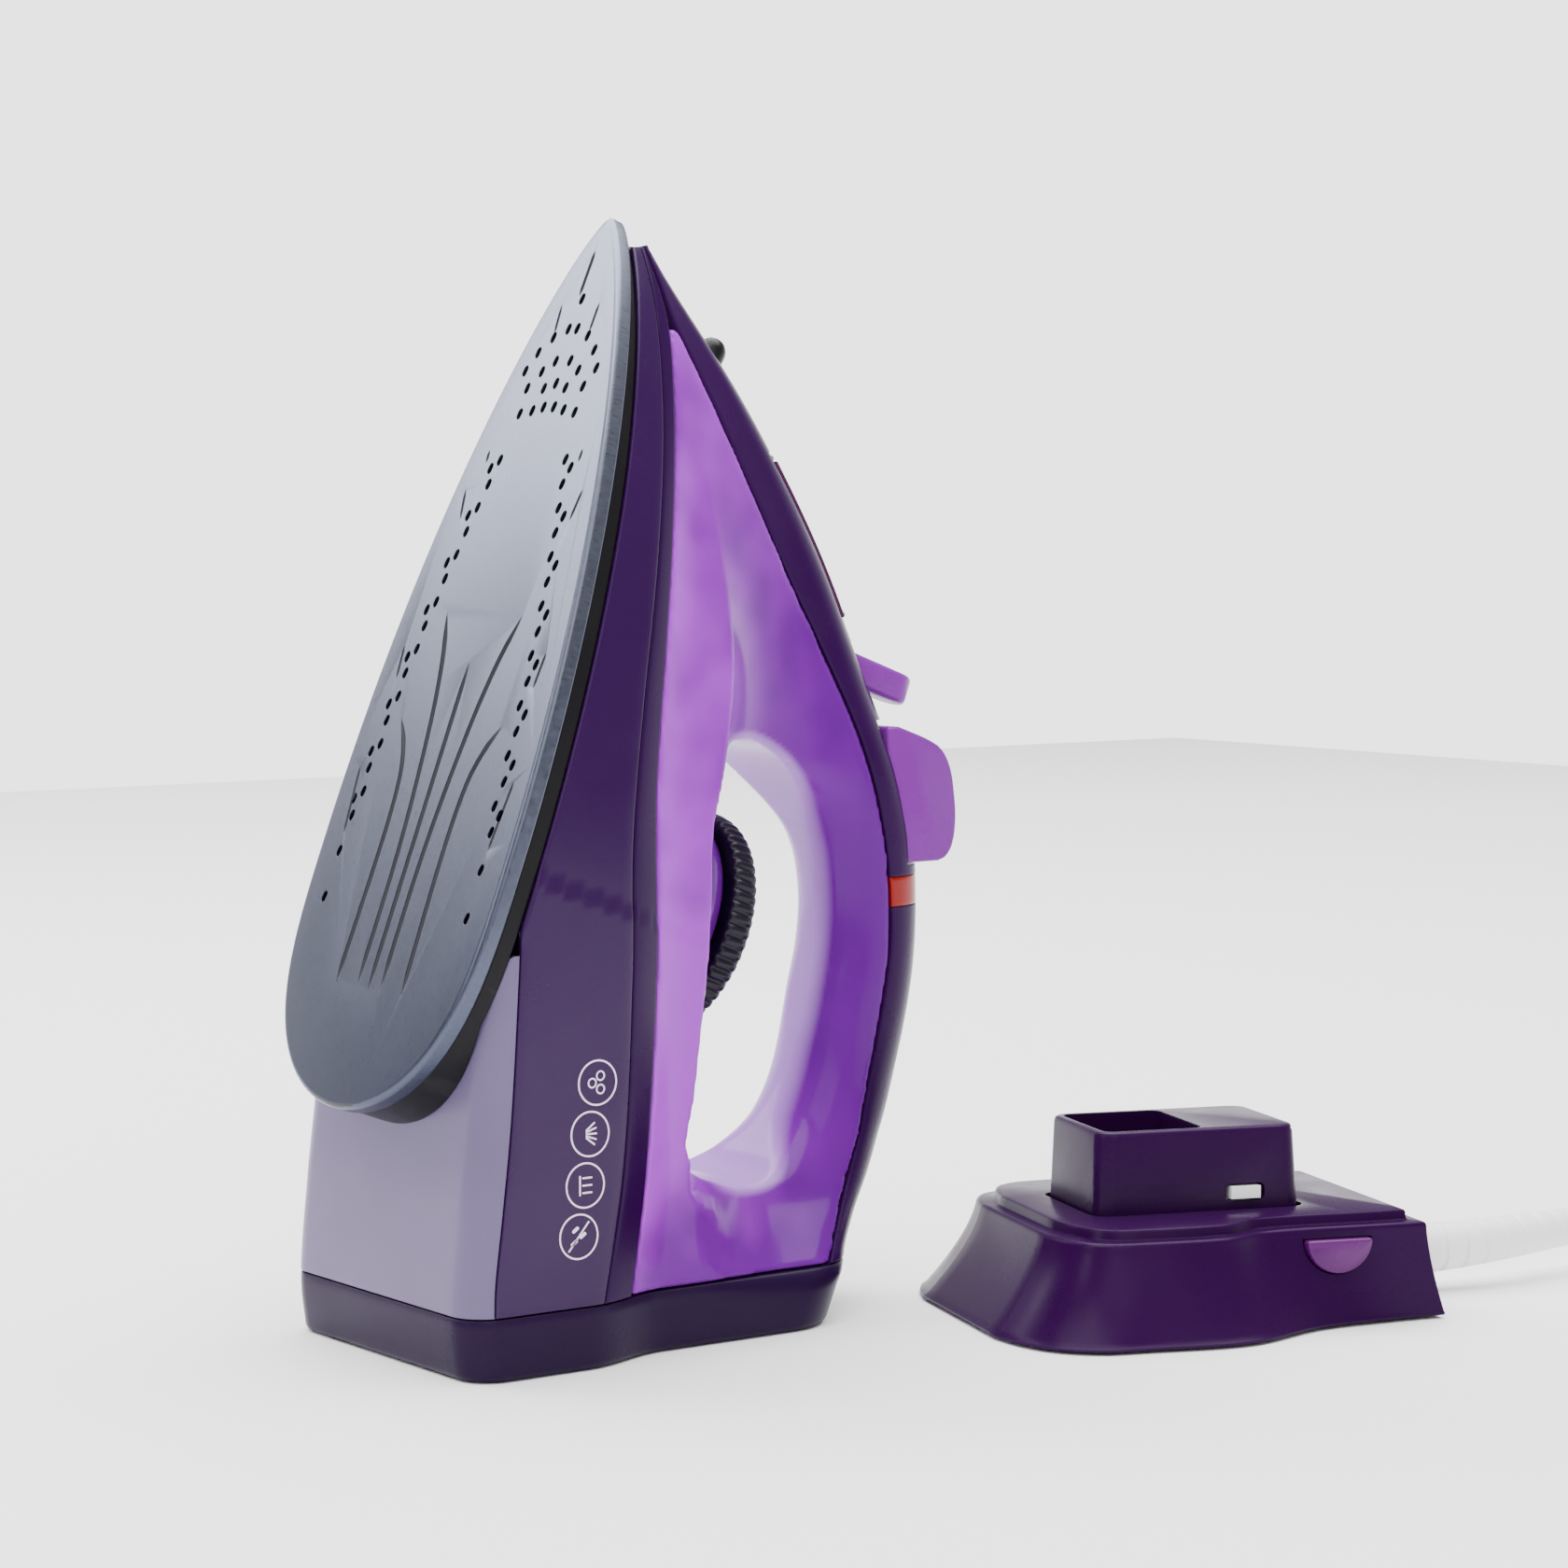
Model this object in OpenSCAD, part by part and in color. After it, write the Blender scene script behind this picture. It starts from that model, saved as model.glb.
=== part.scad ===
// Cordless steam iron standing on its heel, beside its power base with cord and plug.
// Millimetres. The origin is on the table under the middle of the iron. +X points from the
// soleplate side to the handle side, +Y across the iron, and +Z up towards its nose.

/* [Soleplate] */
// Length of the soleplate from its rear edge to its tip
sole_length = 244.4; // [240:0.2:248]
// Greatest half width of the soleplate
sole_half_width = 46.2; // [45:0.1:47]
// Thickness of the soleplate
sole_thickness = 5; // [4:0.5:5]
// Radius of a steam hole
steam_hole_r = 1.1; // [0.8:0.1:1.3]

/* [Body] */
// Wall of the moulded shells
wall = 2.6; // [2:0.1:3]
// Gap between two shells at a seam
seam = 0.3; // [0.2:0.05:0.4]
// Height of the dark band round the heel
heel_band_h = 16; // [15:0.5:16]
// How far the body steps in between the lower shell and the water tank
side_step = 7.6; // [6:0.1:8]

/* [Thermostat dial] */
// Radius of the dial
dial_r = 31.8; // [30:0.1:32]
// Thickness of the dial
dial_h = 9; // [8:0.1:9.2]
// Number of grip ribs round the dial
dial_ribs = 60; // [40:1:72]

/* [Controls] */
// Travel of the spray and steam burst buttons
button_travel = 5; // [3:0.5:6]
// Running clearance of sliding and turning parts
clearance = 0.06; // [0.04:0.01:0.1]

/* [Power base] */
// Height of the ledge round the power base
dock_ledge_h = 26.5; // [25:0.5:28]
// Height of the top of the tower
dock_tower_h = 51.5; // [50:0.5:52]

/* [Cord] */
// Diameter of the cord
cord_d = 7; // [6.5:0.1:7.5]
// Mean radius of the stored coil
coil_r = 38.5; // [36:0.5:42]

/* [Hidden] */
$fn = 48;

// The soleplate leans back from the vertical; its rear edge is at this place.
sole_lean = 20.46;
sole_rear = [-70.03, 66];
sole_widest = 68.3;

// Side view lines of the standing body, each a few [height, x] points joined smoothly.
rear_line = [[0, -56], [14, -57.5], [43, -55], [66, -52.3], [101, -50], [120, -49]];
corner_line = [[14, -50], [24, -49.7], [43, -47.4], [66, -44.8], [101, -42.4], [118, -41.6]];
strip_line = [[14, -17.5], [50, -11], [100, -8], [135, -7.2], [169, -2], [205, 6.5], [239, 14.5],
    [268, 20.2], [288, 22.6]];
tank_line = [[14, -6.5], [50, -1.5], [100, 2], [145, 2.6], [181, 7.8], [217, 14.8], [249, 21.3],
    [268, 24.5], [288, 23.8]];
deck_line = [[14, 13], [50, 15], [72, 17], [108, 21.6], [132, 23], [149, 27], [180, 32],
    [217, 30], [249, 27], [268, 25.4]];
grip_line = [[14, 44], [36, 56], [61, 70.5], [87, 77], [100, 80], [113, 80.7], [126, 78],
    [141, 69], [152, 58], [180, 52], [217, 42], [249, 31], [268, 26]];
cover_line = [[14, 60], [26, 70.5], [38, 80.5], [50, 87.7], [76, 95], [101, 99], [127, 96.5],
    [153, 88.5], [179, 75], [204, 59.5], [229, 46], [249, 36], [262, 29.5], [268, 26.8],
    [288, 24.1]];
back_line = [[0, 68], [16, 75], [26, 84], [36, 94.5], [48, 102.3], [60, 107], [85, 113.5],
    [105, 115.3], [125, 114.2], [138, 110.7], [151, 106], [178, 93], [217, 73], [249, 54],
    [279, 32], [289, 26]];
skirt_depth = [[91, 10.7], [220, 9.7], [258, 8.4], [288, 6.6]];

// Half widths of the handle and of the column in front of it, by height.
handle_half = [[14, 38.9], [26, 29], [36, 21.5], [48, 17], [60, 15], [100, 14.6], [150, 16]];
column_half = [[150, 16], [178, 15.5], [204, 15], [229, 13], [249, 10.5], [268, 7.5], [288, 4.2]];
column_power = [[130, 14], [156, 6], [170, 4], [200, 2], [230, 1.3], [288, 1]];
back_round = [[0, 20], [36, 18], [60, 17.5], [150, 17], [200, 12], [250, 9], [288, 4]];

// Hand opening between the deck and the grip, in side view.
hand_opening = [[14, 52], [20, 45], [30, 40.5], [45, 37], [56, 39.5], [64, 49], [70.5, 61],
    [74.6, 74], [77.6, 87], [80.2, 100], [80.7, 113], [78.3, 126], [70.5, 140], [61, 150.5],
    [50, 156], [38, 156.5], [29.5, 151.5], [25.5, 143], [23, 131], [21.8, 110], [19.5, 85],
    [16.5, 66]];

// Dial axis, in soleplate coordinates: distance along the plate and height above it.
dial_along = 75.3;
dial_top = 89.8;
rod_along = 149;
element_r = 3.2;
element_z = 19;

// Power base, with its own local frame.
dock_at = [101, -53];
dock_turn = -18.5;
cord_exit_h = 11.5;

// Cord route from the strain relief down to the coil, and from its last turn to the plug.
cord_lead = [[276.8, -99.8, 13], [284, -99.4, 12.4], [292, -97.9, 10.6], [301, -95.3, 8.2],
    [310, -92.4, 6], [320, -89.2, 4.4], [331.2, -86, 3.6]];
coil_at = [343, -130];
cord_tail = [[364, -93.6, 16.6], [372, -98.8, 17.4], [380, -104.3, 17.7], [388, -110.5, 16.4],
    [395, -117.5, 12.6], [400, -125.5, 8.6], [403, -134, 5.6], [404.5, -143, 4.6],
    [405.2, -152, 6.4], [405.5, -161, 8.6]];
plug_at = [405.5, -161, 9];
plug_turn = -90;

// Strain relief route in the power base's frame: sideways and upwards, by distance along.
guard_side = [[106, 0], [133, 0], [150, 1.6], [166, 5.4], [181.5, 11.4]];
guard_rise = [[106, 0], [133, 0.2], [150, 0.8], [166, 1.4], [181.5, 1.5]];
guard_r = [7.6, 5.4];

// Fittings inside the heel, the controls and the power base.
heel_floor = 3.6;
heel_screw_places = [[-49, 30], [-49, -30], [54, 0]];
socket_min = [-41, -21];
socket_max = [21, 21];
socket_h = 26;
contact_x = -23;
contact_rows = [-8, 0, 8];
nozzle_at = [47, 0, 257.5];
nozzle_tilt = 32;
lid_low = 188.5;
lid_high = 231;
lid_hinge = [63.3, 231.4];
lid_depth = 2.6;
lid_proud = 1.3;
knuckle_half = 5;
pin_half = 7.2;
lid_half = 11.4;
tab_along = 158.5;
tab_half = 5.5;
tab_base = 106;
hub_base = 112;
rod_r = 2;
shaft_r = 3;
button_half = 12.6;
button_side = [[100, 159.2], [113.2, 154.3], [118, 151.6], [121.3, 146.5], [122.9, 139],
    [123.4, 131], [122.3, 124.5], [119.6, 120.8], [116.5, 120], [103, 120]];
pump_r = 4.4;
pump_top = 123;
pump_base = 112;
pump_along = 131;
pump_y = 6.4;
plateau_h = 29.4;
dock_length = 119;
dock_front = 8;
front_bulge = 8;
dock_feet_at = [[18, -38], [18, 38], [98, -26], [98, 26]];
// Half width of the base across itself, at its foot and at its ledge, by distance along it.
foot_half = [[0, 28], [2, 37], [6, 46], [12, 52.5], [20, 56.5], [28, 57], [58, 57], [82, 44], [104, 39.5], [117, 38]];
ledge_half = [[8, 24], [10, 33], [13, 39.5], [17, 43], [24, 45], [52, 45], [66, 38.5], [104, 38], [113, 37.5]];

// ---------------------------------------------------------------- curves and half widths

function clamp01(t) = min(1, max(0, t));
function ease(t) = let(u = clamp01(t)) u * u * (3 - 2 * u);
function slope(p, i) =
    i == 0 ? (p[1][1] - p[0][1]) / (p[1][0] - p[0][0])
    : i == len(p) - 1 ? (p[i][1] - p[i - 1][1]) / (p[i][0] - p[i - 1][0])
    : (p[i + 1][1] - p[i - 1][1]) / (p[i + 1][0] - p[i - 1][0]);
function span_of(p, a) = max([0, for (k = [1 : len(p) - 2]) if (a >= p[k][0]) k]);
// Smooth curve through a few [a, b] points, held at its end values outside them.
function curve(a_raw, p) =
    let(a = min(p[len(p) - 1][0], max(p[0][0], a_raw)), i = span_of(p, a),
        h = p[i + 1][0] - p[i][0], t = (a - p[i][0]) / h, t2 = t * t, t3 = t2 * t)
    (2 * t3 - 3 * t2 + 1) * p[i][1] + (t3 - 2 * t2 + t) * h * slope(p, i)
    + (3 * t2 - 2 * t3) * p[i + 1][1] + (t3 - t2) * h * slope(p, i + 1);

// Half width of the soleplate outline at a distance along it, for a given greatest half width.
function outline_half(s, half, start, end) =
    let(wide = start + (sole_widest / sole_length) * (end - start),
        nose = clamp01((s - wide) / (end - wide)), rear = clamp01((wide - s) / (wide - start)))
    s > wide ? half * pow(1 - nose * nose, 0.75) : half * sqrt(1 - pow(rear, 3.2));
function outline_steps(start, end) =
    [for (i = [0 : 36]) start + (end - start) * (1 - cos(i * 5)) / 2];
function outline(half, start, end) = concat(
    [for (s = outline_steps(start, end)) [outline_half(s, half, start, end), s]],
    [for (i = [35 : -1 : 1]) let(s = outline_steps(start, end)[i])
        [-outline_half(s, half, start, end), s]]);

function sole_x(z) = sole_rear[0] + (z - sole_rear[1]) * tan(sole_lean);
function along_sole(x, z) =
    (x - sole_rear[0]) * sin(sole_lean) + (z - sole_rear[1]) * cos(sole_lean);
function skirt_x(z) = sole_x(z) + curve(z, skirt_depth);
function body_front(z) = max(curve(z, rear_line), skirt_x(z));
function shell_front(z) = max(curve(z, corner_line), skirt_x(z));
function strip_x(z) = curve(z, strip_line);
function tank_x(z) = curve(z, tank_line);
function deck_x(z) = curve(z, deck_line);
function grip_x(z) = curve(z, grip_line);
function cover_x(z) = curve(z, cover_line);
function back_x(z) = curve(z, back_line);

// Half width of the lower sides: the soleplate's outline, stepping in towards the tank.
function side_half(x, z) =
    let(s = along_sole(x, z),
        w = s > sole_widest ? outline_half(s, sole_half_width, 0, sole_length)
            : sole_half_width + 0.3,
        step = side_step * w / sole_half_width,
        a = strip_x(z) - 4, b = tank_x(z) + 13)
    w - step * ease((x - a) / (b - a));
function corner_cut(x, z) =
    let(r = 10, d = x - curve(z, rear_line)) z > 112 || d >= r ? 0
    : r - sqrt(max(0, r * r - (r - max(0, d)) * (r - max(0, d))));
function round_end(w, d, r) =
    let(u = clamp01(d / r), m = min(w, r)) w - m + m * sqrt(max(0, 1 - (1 - u) * (1 - u)));
// Half width of the upper part: handle below, column of the tank above, rounded at the back.
function upper_half(x, z) =
    let(deck = deck_x(z), back = back_x(z), grip = grip_x(z), open = z > 38 && z < 156,
        base = side_half(deck, z),
        root = curve(z, handle_half) + (base - curve(z, handle_half))
            * (1 - ease((x - deck) / (48 - deck))),
        inner = round_end(curve(z, handle_half), x - grip, 16),
        column = curve(z, column_half) + (base - curve(z, column_half))
            * pow(1 - clamp01((x - deck) / (back - deck)), curve(z, column_power)),
        blend_root = ease((z - 36) / 16), blend_top = ease((z - 128) / 24),
        grip_w = x > grip - 8 ? max(inner, 3) : root,
        low = root * (1 - blend_root) + (x > grip - 8 ? inner : column) * blend_root,
        w = low * (1 - blend_top) + column * blend_top)
    round_end(max(w, 0.6), back - x, curve(z, back_round));
function half_at(x, z) =
    max(0.25, (x > deck_x(z) ? min(upper_half(x, z), side_half(deck_x(z), z)) : side_half(x, z))
        - corner_cut(x, z));

// ---------------------------------------------------------------- building modules

function spread(a, b, n) = [for (i = [0 : n]) a + (b - a) * i / n];
// Closed solid, symmetric about Y = 0: rows of heights, a list of x for each, less an inset.
module loft(heights, columns, inset = 0) {
    rows = [for (z = heights) [for (x = columns(z)) [x, z, max(0.2, half_at(x, z) - inset)]]];
    n = len(rows[0]);
    m = len(rows);
    near = [for (r = rows) for (q = r) [q[0], -q[2], q[1]]];
    far = [for (r = rows) for (q = r) [q[0], q[2], q[1]]];
    off = n * m;
    quads = concat(
        [for (j = [0 : m - 2]) for (i = [0 : n - 2])
            [j * n + i, j * n + i + 1, (j + 1) * n + i + 1, (j + 1) * n + i]],
        [for (j = [0 : m - 2]) for (i = [0 : n - 2])
            [off + j * n + i, off + (j + 1) * n + i, off + (j + 1) * n + i + 1, off + j * n + i + 1]],
        [for (j = [0 : m - 2]) [j * n, (j + 1) * n, off + (j + 1) * n, off + j * n]],
        [for (j = [0 : m - 2]) let(i = n - 1)
            [j * n + i, off + j * n + i, off + (j + 1) * n + i, (j + 1) * n + i]],
        [for (i = [0 : n - 2]) [i, off + i, off + i + 1, i + 1]],
        [for (i = [0 : n - 2]) let(k = (m - 1) * n) [k + i, k + i + 1, off + k + i + 1, off + k + i]]);
    polyhedron(concat(near, far), [for (q = quads) each [[q[0], q[2], q[1]], [q[0], q[3], q[2]]]]);
}
// Straight prism across the iron from a side view polygon of [x, z] points.
module across(points, half = 80) {
    rotate([90, 0, 0]) linear_extrude(2 * half, center = true) polygon(points);
}
// Children drawn in soleplate coordinates: X away from the plate, Y across, Z along it.
module on_sole() {
    translate([sole_rear[0], 0, sole_rear[1]]) rotate([0, sole_lean, 0]) children();
}
// Plate parallel to the soleplate from one height above it to another.
module plate(points, low, high) {
    translate([low, 0, 0]) rotate([90, 0, 90]) linear_extrude(high - low) polygon(points);
}
// Cylinder that stands on the soleplate's plane.
module post(r, low, high, along, y = 0) {
    translate([low, y, along]) rotate([0, 90, 0]) cylinder(h = high - low, r = r);
}
// Tube swept along a route, one ring of points at each place.
module sweep(route, r, sides = 8, r_end = undef) {
    n = len(route);
    dir = [for (i = [0 : n - 1]) let(d = route[min(n - 1, i + 1)] - route[max(0, i - 1)]) d / norm(d)];
    rings = [for (i = [0 : n - 1]) let(
        u0 = cross([0, 0, 1], dir[i]),
        u = norm(u0) < 0.05 ? [1, 0, 0] : u0 / norm(u0), v = cross(dir[i], u),
        rr = is_undef(r_end) ? r : r + (r_end - r) * i / (n - 1))
        for (k = [0 : sides - 1]) route[i] + rr * (cos(360 * k / sides) * u + sin(360 * k / sides) * v)];
    faces = concat(
        [for (i = [0 : n - 2]) for (k = [0 : sides - 1]) let(k2 = (k + 1) % sides) each
            [[i * sides + k, (i + 1) * sides + k2, i * sides + k2],
             [i * sides + k, (i + 1) * sides + k, (i + 1) * sides + k2]]],
        [[for (k = [0 : sides - 1]) k]],
        [[for (k = [sides - 1 : -1 : 0]) (n - 1) * sides + k]]);
    polyhedron(rings, faces);
}
function smooth_point(p, i, t) =
    let(n = len(p), a = p[(i + n - 1) % n], b = p[i % n], c = p[(i + 1) % n], d = p[(i + 2) % n])
    0.5 * (2 * b + (c - a) * t + (2 * a - 5 * b + 4 * c - d) * t * t
        + (3 * b - a - 3 * c + d) * t * t * t);
function closed_curve(p, n) = [for (i = [0 : len(p) - 1]) for (k = [0 : n - 1])
    smooth_point(p, i, k / n)];

// ---------------------------------------------------------------- soleplate and heater

// Steam holes in rows of three along both edges, and in arcs near the tip: [y, along].
edge_groups = [for (k = [0 : 7]) let(s = 176 - 13.3 * k,
    y = outline_half(s, sole_half_width, 0, sole_length) - 13.4 - 0.035 * (s - 83))
    each [[y, s], [y + 3.5, s - 2.3], [y + 2, s - 6.8]]];
nose_arcs = [[13.2, 189], [7.5, 189.8], [2.5, 190.7], [13.4, 196.2], [5.2, 196], [0, 197.3],
    [17, 201.2], [8.7, 200.8], [3.5, 203.6], [13.4, 206.3], [8.2, 210.4], [2.1, 212.6], [0, 221]];
steam_holes = concat(edge_groups, nose_arcs, [[35.3, 66.2], [35.6, 53.5]]);
groove_paths = [
    [[0, 30], [0, 121]],
    [[5.8, 31], [6.2, 70], [9.4, 101], [13.4, 120], [18.9, 134.5]],
    [[16.5, 30.8], [15.4, 70], [16.6, 88], [20, 97], [25.5, 104.5]]];

module soleplate() {
    color([0.62, 0.64, 0.68]) on_sole() difference() {
        union() {
            plate(outline(sole_half_width - 0.8, 0.8, sole_length - 1.2), 0, 0.8);
            plate(outline(sole_half_width, 0, sole_length), 0.8, sole_thickness);
        }
        for (h = steam_holes, side = h[0] == 0 ? [1] : [-1, 1])
            post(steam_hole_r, -1, sole_thickness + 1, h[1], side * h[0]);
    }
}

module heater_casting() {
    color([0.55, 0.56, 0.57]) on_sole() difference() {
        plate(outline(36, 52, 214), sole_thickness + 0.05, element_z);
        heater_path(element_r + 0.05);
        plate(outline(20, 92, 196), 12, 30);
        post(rod_r + 0.5, 4, 30, rod_along);
    }
}
module heater_path(r) {
    for (side = [-1, 1])
        translate([element_z, side * 27, 58]) cylinder(h = 70, r = r);
    translate([element_z, 0, 128]) rotate([90, 0, 90]) rotate_extrude(angle = 180)
        translate([27, 0]) circle(r);
}
// Bent tubular element, with a terminal stud on each end.
module heating_element() {
    color([0.3, 0.3, 0.31]) on_sole() {
        heater_path(element_r);
        for (side = [-1, 1])
            translate([element_z, side * 27, 50]) cylinder(h = 8, r = 1.6);
    }
}
module steam_chamber_cover() {
    color([0.6, 0.6, 0.6]) on_sole() difference() {
        plate(outline(21.5, 90, 198), element_z + 0.02, element_z + 1.4);
        post(rod_r + 0.4, 4, 30, rod_along);
        heater_path(element_r + 0.1);
    }
}

// Black heat shield between the soleplate and the body; it fills the space under the rear edge.
module heat_skirt() {
    color([0.03, 0.03, 0.04]) difference() {
        on_sole() difference() {
            plate(outline(sole_half_width - 0.7, 0.8, sole_length - 2), sole_thickness + 0.05, 24);
            plate(outline(40, 8, 222), 4, 30);
        }
        across(concat([for (z = [40 : 4 : 300]) [body_front(z) - seam, z]], [[120, 300], [120, 40]]));
    }
}

// ---------------------------------------------------------------- body shells

function rows(a, b, n) = spread(a, b, n);
function mix(a, b, list) = [for (f = list) a + (b - a) * f];
function lower_columns(z) =
    mix(shell_front(z) + seam / 2, strip_x(z) - seam / 2, [0, 0.08, 0.2, 0.4, 0.65, 0.85, 1]);
module lower_body() {
    color([0.2, 0.08, 0.32]) difference() {
        loft(concat(rows(heel_band_h + seam, 262, 24), [270, 278, 284, 287]),
            function(z) lower_columns(z));
        loft(rows(5, 270, 16), function(z) mix(shell_front(z) - 5, strip_x(z) + 3, [0, 0.3, 0.6, 1]),
            wall);
    }
}
// Pale rear cover under the soleplate, wrapping round both rear corners.
module rear_panel() {
    color([0.63, 0.61, 0.71]) difference() {
        loft(rows(heel_band_h + seam, 107, 10),
            function(z) mix(body_front(z), shell_front(z) - seam / 2,
                [0, 0.04, 0.12, 0.25, 0.45, 0.7, 1]));
        loft(rows(5, 120, 8),
            function(z) mix(body_front(z) + wall, shell_front(z) + 3, [0, 0.15, 0.35, 0.6, 1]), wall);
    }
}
module trim_strip() {
    color([0.14, 0.05, 0.28]) difference() {
        loft(concat(rows(heel_band_h + seam, 262, 24), [270, 279, 287]),
            function(z) mix(strip_x(z) + seam / 2, tank_x(z) - seam / 2, [0, 0.33, 0.67, 1]));
        loft(rows(5, 262, 16), function(z) mix(strip_x(z) - 2, tank_x(z) + 2, [0, 0.5, 1]), wall);
    }
}

function tank_columns(z, in_a = 0, in_b = 0) =
    let(a = tank_x(z) + seam / 2 + in_a, b = cover_x(z) - seam / 2 - in_b,
        d = deck_x(z), g = grip_x(z), t = ease((z - 140) / 30),
        f = [a, (a + d) / 2, d - 1.5, d, d + 2, d + 5, (d + g) / 2, g, g + 1.5, g + 4, g + 8, g + 12,
            (g + 12 + b) / 2, b])
    [for (k = [0 : 13]) f[k] * (1 - t) + (a + (b - a) * k / 13) * t];
module tank_shell() {
    color([0.62, 0.36, 0.75]) difference() {
        loft(concat(rows(heel_band_h + seam, 252, 30), [259, 265]), function(z) tank_columns(z));
        across(closed_curve(hand_opening, 3));
        difference() {
            loft(rows(heel_band_h + seam + wall, 252, 20), function(z)
                tank_columns(z, wall, wall * ease((z - 146) / 8) - 3 * (1 - ease((z - 146) / 8))), wall);
            rotate([90, 0, 0]) linear_extrude(160, center = true)
                offset(delta = wall) polygon(closed_curve(hand_opening, 2));
            on_sole() {
                post(6, 20, 82, dial_along);
                post(4.2, 15, 110, rod_along);
            }
        }
        on_sole() {
            post(shaft_r + 0.4, 30, 82, dial_along);
            post(rod_r + 0.4, 15, 110, rod_along);
        }
        neck_tube(7.1, 6, 30);
        button_body(0.6);
        linear_extrude(socket_h + 2) polygon(socket_outline(2));
    }
}
module handle_core() {
    color([0.42, 0.1, 0.62]) loft(rows(50, 106, 8),
        function(z) mix(grip_x(z) + 4.4, cover_x(z) - 2, [0, 0.2, 0.5, 1]), 3.6);
}

function cover_columns(z, from, to) =
    mix(cover_x(z) + from, back_x(z) - to, [0, 0.3, 0.55, 0.76, 0.9, 0.97, 1]);
module cover_skin() {
    loft(concat(rows(heel_band_h + seam, 262, 28), [270, 277, 283, 288]),
        function(z) cover_columns(z, seam / 2, 0));
}
module top_cover() {
    color([0.16, 0.06, 0.3]) difference() {
        union() {
            difference() {
                cover_skin();
                loft(rows(heel_band_h + seam + wall, 270, 24),
                    function(z) cover_columns(z, -4, wall), wall);
            }
            intersection() {
                cover_skin();
                across([[56, 236], [88, 184], [78, 178], [50, 226]]);
            }
        }
        lid_space(0.3);
        neck_tube(7.1, 6, 30);
        lever_slot();
        button_body(0.4);
        across(lens_side(seam / 2));
        nozzle_shape(0.1);
        translate([lid_hinge[0], 0, lid_hinge[1]]) rotate([90, 0, 0]) {
            cylinder(h = 2 * pin_half, r = 1, center = true);
            cylinder(h = 2 * knuckle_half + 0.6, r = 2.3, center = true);
        }
    }
}

// ---------------------------------------------------------------- heel

module heel_band() {
    color([0.2, 0.1, 0.3]) difference() {
        loft([0, 1.5, 5, 10, heel_band_h], function(z) concat(
            mix(curve(z, rear_line), -21, [0, 0.03, 0.09, 0.18, 0.35, 0.7]),
            spread(-21, 10, 6), mix(10, back_x(z), [0.35, 0.6, 0.78, 0.9, 0.97, 1])),
            0.15);
        difference() {
            loft([heel_floor, 9, 20], function(z) concat(
                mix(curve(z, rear_line) + wall, -21, [0, 0.05, 0.18, 0.5]),
                spread(-21, 10, 4), mix(10, back_x(z) - wall, [0.4, 0.7, 0.9, 1])), wall);
            for (p = heel_screw_places) translate([p[0], p[1], 0]) cylinder(h = 14, r = 3.6);
        }
        translate([0, 0, -1]) linear_extrude(20) polygon(socket_outline(1.8));
        for (p = heel_screw_places) translate([p[0], p[1], 0]) {
            translate([0, 0, -1]) cylinder(h = 3.6, r = 3);
            cylinder(h = 12, r = 1.55);
        }
    }
}
function rounded_box(a, b, r, n = 6) = [for (q = [0 : 3]) for (i = [0 : n])
    let(c = [q == 0 || q == 3 ? b[0] - r : a[0] + r, q < 2 ? b[1] - r : a[1] + r],
        t = 90 * q + 90 * i / n) c + r * [cos(t), sin(t)]];
function socket_outline(grow) = rounded_box(socket_min - [grow, grow], socket_max + [grow, grow],
    5 + grow);
module socket_cup() {
    color([0.05, 0.04, 0.06]) difference() {
        linear_extrude(socket_h + 1.6) polygon(socket_outline(1.6));
        translate([0, 0, -1]) linear_extrude(socket_h + 1) polygon(socket_outline(0));
        for (y = contact_rows) translate([contact_x, y, 0]) cylinder(h = 40, r = 1.5);
    }
}
module heel_contacts() {
    color([0.75, 0.62, 0.3]) for (y = contact_rows) translate([contact_x, y, 13])
        cylinder(h = 19, r = 1.5);
}
module heel_screws() {
    color([0.6, 0.6, 0.62]) for (p = heel_screw_places) translate([p[0], p[1], 0]) {
        translate([0, 0, 0.9]) cylinder(h = 1.7, r = 2.8);
        translate([0, 0, 2.6]) cylinder(h = 8, r = 1.5);
    }
}

// ---------------------------------------------------------------- nozzle, filler and lid

module nozzle_shape(grow) {
    translate(nozzle_at) rotate([0, nozzle_tilt, 0]) rotate_extrude() polygon([[0, -5 - grow],
        [4 + grow, -5 - grow], [4 + grow, 2], [3.6 + grow, 3.6], [2.6 + grow, 4.7], [0, 5 + grow]]);
}
module spray_nozzle() {
    color([0.05, 0.03, 0.08]) difference() {
        nozzle_shape(0);
        translate(nozzle_at) rotate([0, nozzle_tilt, 0]) translate([0, 0, 1]) cylinder(h = 8, r = 0.8, $fn = 16);
    }
}
// Tube from the filler mouth in the cover down into the tank.
module neck_tube(r, low, high) {
    translate([72 - high, 0, 209]) rotate([0, 90, 0]) cylinder(h = high + low, r = r);
}
module filler_neck() {
    color([0.1, 0.08, 0.14]) intersection() {
        difference() {
            neck_tube(7, 6, 24);
            neck_tube(5.6, 8, 30);
        }
        across([[30, 190], [30, 240], [57.4, 226.5], [76, 191.5]]);
    }
}
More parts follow.
